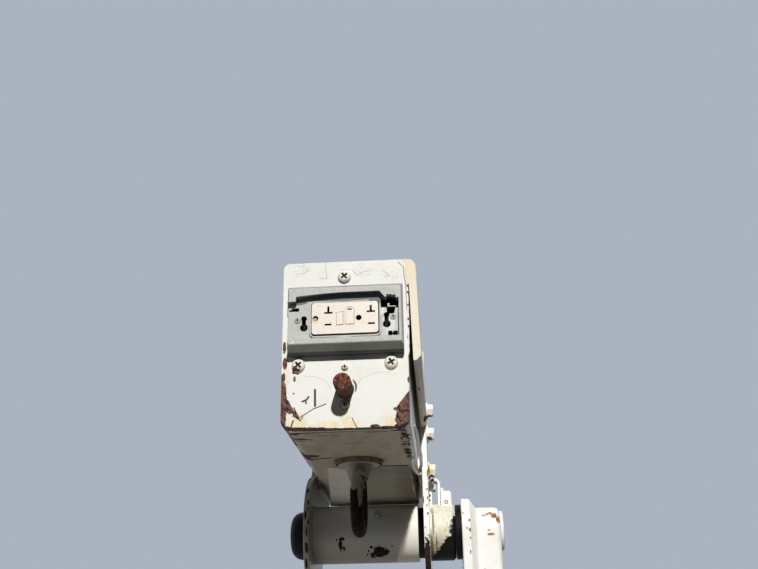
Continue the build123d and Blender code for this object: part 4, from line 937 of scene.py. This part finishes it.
def screw_paint(name, colour, slots, dirt):
    """Painted-over heads whose slots hold dirt."""
    coat = base_paint(name, colour, grime=0.3)
    radius, floor, heads = slots
    middles = coat.in_spots([(x, 0, h, radius, 30, radius) for x, h in heads], 0.1, 2, 0.06)
    deep = coat.over_depth(floor + 0.1, floor + 0.5)
    coat.cover(coat.both(middles, deep), dirt, 0.8)
    return coat


def pan_screws():
    coat = screw_paint("pan_screw", (0.80, 0.77, 0.70), PAN_SLOTS, (0.05, 0.035, 0.025))
    chip(coat, PAN_CHIP, RUST, 0.9, 2.0)
    coat.tint(coat.in_spots(PAN_STAINS, 1.0, 3, 0.5), (0.80, 0.62, 0.42), 0.8)
    return coat.done(0.2)


def small_screw_paint():
    coat = screw_paint("small_screw", (0.88, 0.82, 0.71), SMALL_SLOTS, (0.06, 0.035, 0.02))
    coat.tint(coat.patches(0.50, 0.65, 2.0, 5, 0.7), (0.90, 0.74, 0.56), 0.8)
    coat.tint(coat.in_spots(SMALL_STAINS, 1.0, 2, 0.4), (0.66, 0.40, 0.24), 0.9)
    coat.tint(coat.over_height(*LOW_SCREW_FADE), (0.45, 0.42, 0.40), 0.8)
    return coat.done(0.2)


def outlet_screw_paint():
    coat = screw_paint("outlet_screw", (0.50, 0.51, 0.49), OUTLET_SLOTS, (0.05, 0.05, 0.05))
    coat.tint(coat.edge(0.01, 0.1), (0.45, 0.45, 0.45), 0.9)
    return coat.done(0.1)


# Bolts, bare metal and rubber
BOLT_CREAM = (0.90, 0.88, 0.82)
LOW_BOLT = [(77.0, 270, 12, 4.0, 16, 9)]
BOLT_CHIPS = [
    (78, 280, 80, 6, 6, 3), (78, 280, 4, 5, 7, 3), (76.2, 280, 12, 1.4, 14, 8), (78, 276, 52, 4, 8, 2),
]


def bolt_paint():
    coat = base_paint("bolt_enamel", BOLT_CREAM, grime=0.12)
    coat.tint(coat.in_spots(LOW_BOLT, 0.8, 3, 0.4), (1.0, 0.84, 0.46), 0.9)
    chip(coat, BOLT_CHIPS, RUST, 1.4, 3.0, 0.8)
    worn_edges(coat, 0.7, RUST, 4.0, 0.5)
    return coat.done(0.3)


def bare_metal(name, colour):
    coat = Coat(name, colour, 0.4, 0.5)
    coat.metal = 0.9
    coat.tint(coat.patches(0.4, 0.75, 4, 6, 0.7), (0.75, 0.72, 0.68), 0.6)
    return coat.done(0.1)


def grease_black():
    coat = Coat("grease_black", (0.0042, 0.004, 0.004), 0.5, 0.8)
    coat.gloss = 0.10
    coat.cover(coat.patches(0.60, 0.68, 4, 6, 0.7, (1, 1, 2)), (0.050, 0.040, 0.030), 0.8, share=0.6)
    coat.height = coat.noise(3, 5, 0.65)
    return coat.done(0.7)


def dress(material, *nodes):
    for node in nodes:
        mesh = NODES[node].data
        mesh.materials.clear()
        mesh.materials.append(material)


def dress_all():
    dress(plate_material(), "end_plate")
    dress(grey_plastic(), "outlet_base")
    dress(ivory_plastic(), "receptacle", "test_button", "reset_button")
    dress(tube_paint(), "boom_tube", "cheek_spacer_left", "cheek_spacer_right")
    dress(cheek_paint(), "cheek_left", "cheek_right")
    dress(pivot_paint(), "pivot_tube")
    dress(strap_paint(), "hose_strap", "level_lug")
    dress(pad_paint(), "eye_pad")
    dress(gusset_paint(), "belly_gusset")
    dress(bracket_paint(), "bracket_flange", "bracket_arm", "shaft_end_disc", "platform_plate")
    dress(bolt_paint(), "cheek_bolts", "cheek_washers")
    dress(side_cover_paint(), "side_cover")
    dress(hub_paint(), "bearing_hub")
    dress(rusty("stud_rust", RED_RUST, 3.4, 1.0, 0.8), "chain_stud")
    dress(rusty("nut_rust"), "stud_nut")
    dress(eye_paint(), "tie_down_eye")
    dress(pan_screws(), "plate_screws")
    dress(small_screw_paint(), "small_screws")
    dress(outlet_screw_paint(), "outlet_screws")
    dress(bare_metal("shaft_steel", (0.35, 0.34, 0.33)), "pivot_shaft", "grease_fitting")
    dress(bare_metal("bush_bronze", (0.45, 0.30, 0.12)), "bushing_left", "bushing_right")
    dress(grease_black(), "shaft_cap", "seal_ring", "outlet_gasket")


# Added pieces
ROPE_SIDES = 8
ROPE_END = 0.35
LUMP_SPLITS = 3
LUMP_COARSE, LUMP_FINE = 1.7, 4.5


def add_piece(name, verts, faces, material, slot):
    """A smooth mesh in millimetres that stays with the boom tip."""
    mesh = bpy.data.meshes.new(name)
    mesh.from_pydata([place(*v) for v in verts], [], faces)
    mesh.materials.append(material)
    piece = new_object(name, mesh)
    mesh.polygons.foreach_set("use_smooth", [True] * len(mesh.polygons))
    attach(piece, TIP)
    return piece


def rope_mesh(points, radius, wobble, grain, lead=1):
    """A closed uneven bead of round section along points in millimetres, thin over its first lead points."""
    verts, faces = [], []
    last = len(points) - 1
    for i, p in enumerate(points):
        run = (points[min(i + 1, last)] - points[max(i - 1, 0)]).normalized()
        a = run.orthogonal().normalized() if abs(run.z) > 0.9 else run.cross(Vector((0, 0, 1))).normalized()
        b = run.cross(a)
        full = ROPE_END if i == last else ROPE_END + (1 - ROPE_END) * min(1.0, i / lead)
        size = radius * full * (1 + wobble * noise.noise(p / grain))
        for k in range(ROPE_SIDES):
            angle = 2 * math.pi * k / ROPE_SIDES
            lump = 1 + wobble * 0.6 * noise.noise(p / grain * 2 + Vector((k * 0.7, 0, 0)))
            verts.append(p + (a * math.cos(angle) + b * math.sin(angle)) * size * lump)
    for i in range(last):
        near, far = i * ROPE_SIDES, (i + 1) * ROPE_SIDES
        for k in range(ROPE_SIDES):
            n = (k + 1) % ROPE_SIDES
            faces.append((near + k, near + n, far + n, far + k))
    faces.append(tuple(range(ROPE_SIDES))[::-1])
    faces.append(tuple(range(last * ROPE_SIDES, (last + 1) * ROPE_SIDES)))
    return verts, faces


def fill_in(corners, step):
    """Points every step millimetres along a smooth line through the corners."""
    points = [Vector(c) for c in corners]
    made = []
    for i in range(len(points) - 1):
        p0, p1, p2 = points[max(i - 1, 0)], points[i], points[i + 1]
        p3 = points[min(i + 2, len(points) - 1)]
        count = max(1, int((p2 - p1).length / step))
        for k in range(count):
            t = k / count
            made.append(0.5 * (2 * p1 + (p2 - p0) * t + (2 * p0 - 5 * p1 + 4 * p2 - p3) * t * t
                               + (3 * p1 - p0 - 3 * p2 + p3) * t ** 3))
    return made + [points[-1]]


def lump_mesh(centre, radii, seed, rough):
    """An uneven ball in millimetres."""
    ball = bmesh.new()
    bmesh.ops.create_icosphere(ball, subdivisions=LUMP_SPLITS, radius=1.0)
    verts = []
    for v in ball.verts:
        coarse = noise.noise(v.co * LUMP_COARSE + Vector((seed, 0, 0)))
        push = 1 + rough * coarse + rough * 0.5 * noise.noise(v.co * LUMP_FINE)
        verts.append(tuple(centre[i] + v.co[i] * push * radii[i] for i in range(3)))
    faces = [tuple(v.index for v in f.verts) for f in ball.faces]
    ball.free()
    return verts, faces


def join_meshes(parts):
    verts, faces = [], []
    for v, f in parts:
        start = len(verts)
        verts += v
        faces += [tuple(i + start for i in face) for face in f]
    return verts, faces


# Welds, as points along their middle
RIPPLE_PATH = [
    (57.5, 16, -0.4), (57.8, 40, -0.6), (57.0, 70, -0.6), (56.0, 96, -0.6), (57.6, 112, -0.6),
    (59.4, 134, -0.3),
]
RIPPLE_STEP = 9.0
RIPPLE_ROUGH = 0.45
RIPPLE_PAINT = (0.62, 0.56, 0.46)
RIM_PATH = [
    (67.2, 16, 6.0), (67.3, 60, 9.5), (67.4, 120, 12.0), (67.6, 187, 14.0), (67.8, 222, 14.5),
    (67.8, 246, 13.0), (67.4, 254, 8.0), (66.4, 250, 3.5), (64.4, 238, 1.2), (62.2, 220, 0.0),
    (60.6, 198, -0.9), (59.6, 170, -1.2), (59.0, 146, -1.2),
]
RIM_RADIUS = 2.0
RIM_LEAD = 22
RIM_WHITE = (0.93, 0.93, 0.91)
SEAM_PATH = [(64.4, 1.2, 152), (64.4, 1.2, 120), (64.1, 1.4, 96), (63.6, 1.6, 74)]
SEAM_RADIUS = 1.15
SEAM_CHIPS = [(64.6, 0, h, 0.8, 3, 1.2) for h in (148, 141, 127, 112, 104)]
BEAD_STEP = 2.0


def add_ripples():
    """The overlapping dabs of rusty weld under the tube's right edge."""
    coat = base_paint("ripple_enamel", RIPPLE_PAINT, grime=0.4)
    dabs = coat.patches(0.47, 0.53, 9.0, 4, 0.6, (1.2, 1.6, 1), 2.0)
    coat.cover(dabs, coat.rust(4, WELD_RUST), RUST_ROUGH)
    rng = random.Random(4)
    beads = []
    for at in fill_in(RIPPLE_PATH, RIPPLE_STEP):
        at += Vector((rng.uniform(-1.4, 1.0), rng.uniform(-2.0, 2.0), rng.uniform(-0.2, 0.3)))
        size = (rng.uniform(2.6, 5.2), rng.uniform(3.4, 5.4), rng.uniform(0.6, 1.3))
        beads.append(lump_mesh(at, size, rng.uniform(0, 50), RIPPLE_ROUGH))
    add_piece("weld_ripples", *join_meshes(beads), coat.done(0.5), "white_paint")


def add_side_weld():
    """The bright bead along the cover's lower edge that curls in under the tube."""
    coat = base_paint("rim_enamel", RIM_WHITE, grime=0.05)
    specks(coat, 3.0, 0.68)
    bead = rope_mesh(fill_in(RIM_PATH, BEAD_STEP), RIM_RADIUS, 0.30, 5.0, RIM_LEAD)
    add_piece("side_weld", *bead, coat.done(0.2), "white_paint")


def add_edge_seam():
    """The thin bead between the plate and the side cover."""
    coat = base_paint("seam_enamel", grime=0.05)
    chip(coat, SEAM_CHIPS, DARK_RUST, 1.2, 2.0, 0.6)
    bead = rope_mesh(fill_in(SEAM_PATH, BEAD_STEP), SEAM_RADIUS, 0.45, 4.0)
    add_piece("edge_seam", *bead, coat.done(0.2), "white_paint")


STRAP_BOLT_AT, STRAP_BOLT_RADII = (81.0, 303.0, -5.4), (2.9, 4.0, 5.0)
STRAP_BOLT_CHIP = [(82.5, 300, -9.6, 2.6, 8, 1.4)]


def add_strap_bolt():
    """The painted bolt end that shows inside the strap's loop."""
    coat = base_paint("strap_bolt_enamel", grime=0.1)
    chip(coat, STRAP_BOLT_CHIP, DARK_RUST, 0.8, 2.0)
    lump = lump_mesh(STRAP_BOLT_AT, STRAP_BOLT_RADII, 9.0, 0.12)
    add_piece("strap_bolt", *lump, coat.done(0.2), "white_paint")


# Centre, radii and seed of each lump
SCAB_LUMPS = [((-49.6, -2.6, 62.8), (3.2, 2.4, 2.5), 3.0), ((-46.6, -2.8, 61.4), (2.1, 1.8, 1.8), 5.0)]
SCAB_ROUGH = 0.5


def add_rust_scab():
    """The chunk of rust and lifted paint on the left screw."""
    material = rusty("scab_rust", SCAB_RUST, 1.8, 0.6)
    lumps = [lump_mesh(at, radii, seed, SCAB_ROUGH) for at, radii, seed in SCAB_LUMPS]
    add_piece("screw_scab", *join_meshes(lumps), material, "rusty_steel")


CURL_SHADOW_TONE = (0.12, 0.085, 0.06)
CURL_CENTRE = (0.0, 40.3)
CURL_START, CURL_SWEEP = 52, 68
CURL_NEAR, CURL_FAR = 10.4, 12.7
CURL_WIDE, CURL_TIP_WIDE = 1.5, 0.1
CURL_OFF, CURL_LIFT = 0.3, 0.8
CURL_THICK = 0.4
CURL_STEPS, CURL_ROWS = 18, 3


def add_paint_curl():
    """The thin flake of paint that stands off the plate beside the stud, coloured dark as a painted shadow.
    """
    coat = base_paint("curl_shadow_enamel", CURL_SHADOW_TONE, grime=0.3)
    verts, faces = [], []
    for i in range(CURL_STEPS + 1):
        t = i / CURL_STEPS
        angle = math.radians(CURL_START - CURL_SWEEP * t)
        full = math.sin(math.pi * t) ** 0.8
        inner = CURL_NEAR + (CURL_FAR - CURL_NEAR) * (1 - t) ** 2
        for k in range(CURL_ROWS + 1):
            out = k / CURL_ROWS
            reach = inner + (CURL_TIP_WIDE + CURL_WIDE * full) * out
            x = CURL_CENTRE[0] + reach * math.cos(angle)
            height = CURL_CENTRE[1] + reach * math.sin(angle)
            verts.append((x, -CURL_OFF - CURL_LIFT * out * full, height))
    row = CURL_ROWS + 1
    for i in range(CURL_STEPS):
        for a in range(i * row, i * row + CURL_ROWS):
            faces.append((a, a + 1, a + row + 1, a + row))
    piece = add_piece("paint_curl", verts, faces, coat.done(0.2), "white_paint")
    thick = piece.modifiers.new("thick", "SOLIDIFY")
    thick.thickness = CURL_THICK * MM


HOLE_DIRT_AT, HOLE_DIRT_RADII = (-28.5, -13.3, 109.3), (2.6, 1.2, 2.4)
HOLE_DIRT_TONE = (0.56, 0.44, 0.30)


def add_hole_dirt():
    """The rusty dirt that fills the lower part of the left ground hole."""
    coat = Coat("hole_dirt", HOLE_DIRT_TONE, RUST_ROUGH, 0)
    coat.tint(coat.patches(0.45, 0.65, 1.5, 5, 0.7), (0.62, 0.50, 0.36), 0.8)
    coat.height = coat.noise(1.0, 4)
    lump = lump_mesh(HOLE_DIRT_AT, HOLE_DIRT_RADII, 12.0, 0.2)
    add_piece("hole_dirt", *lump, coat.done(0.3), "ivory_plastic")


make_camera()
make_floor()
make_backdrop()
make_lights()
dress_all()
add_ripples()
add_side_weld()
add_edge_seam()
add_strap_bolt()
add_rust_scab()
add_paint_curl()
add_hole_dirt()
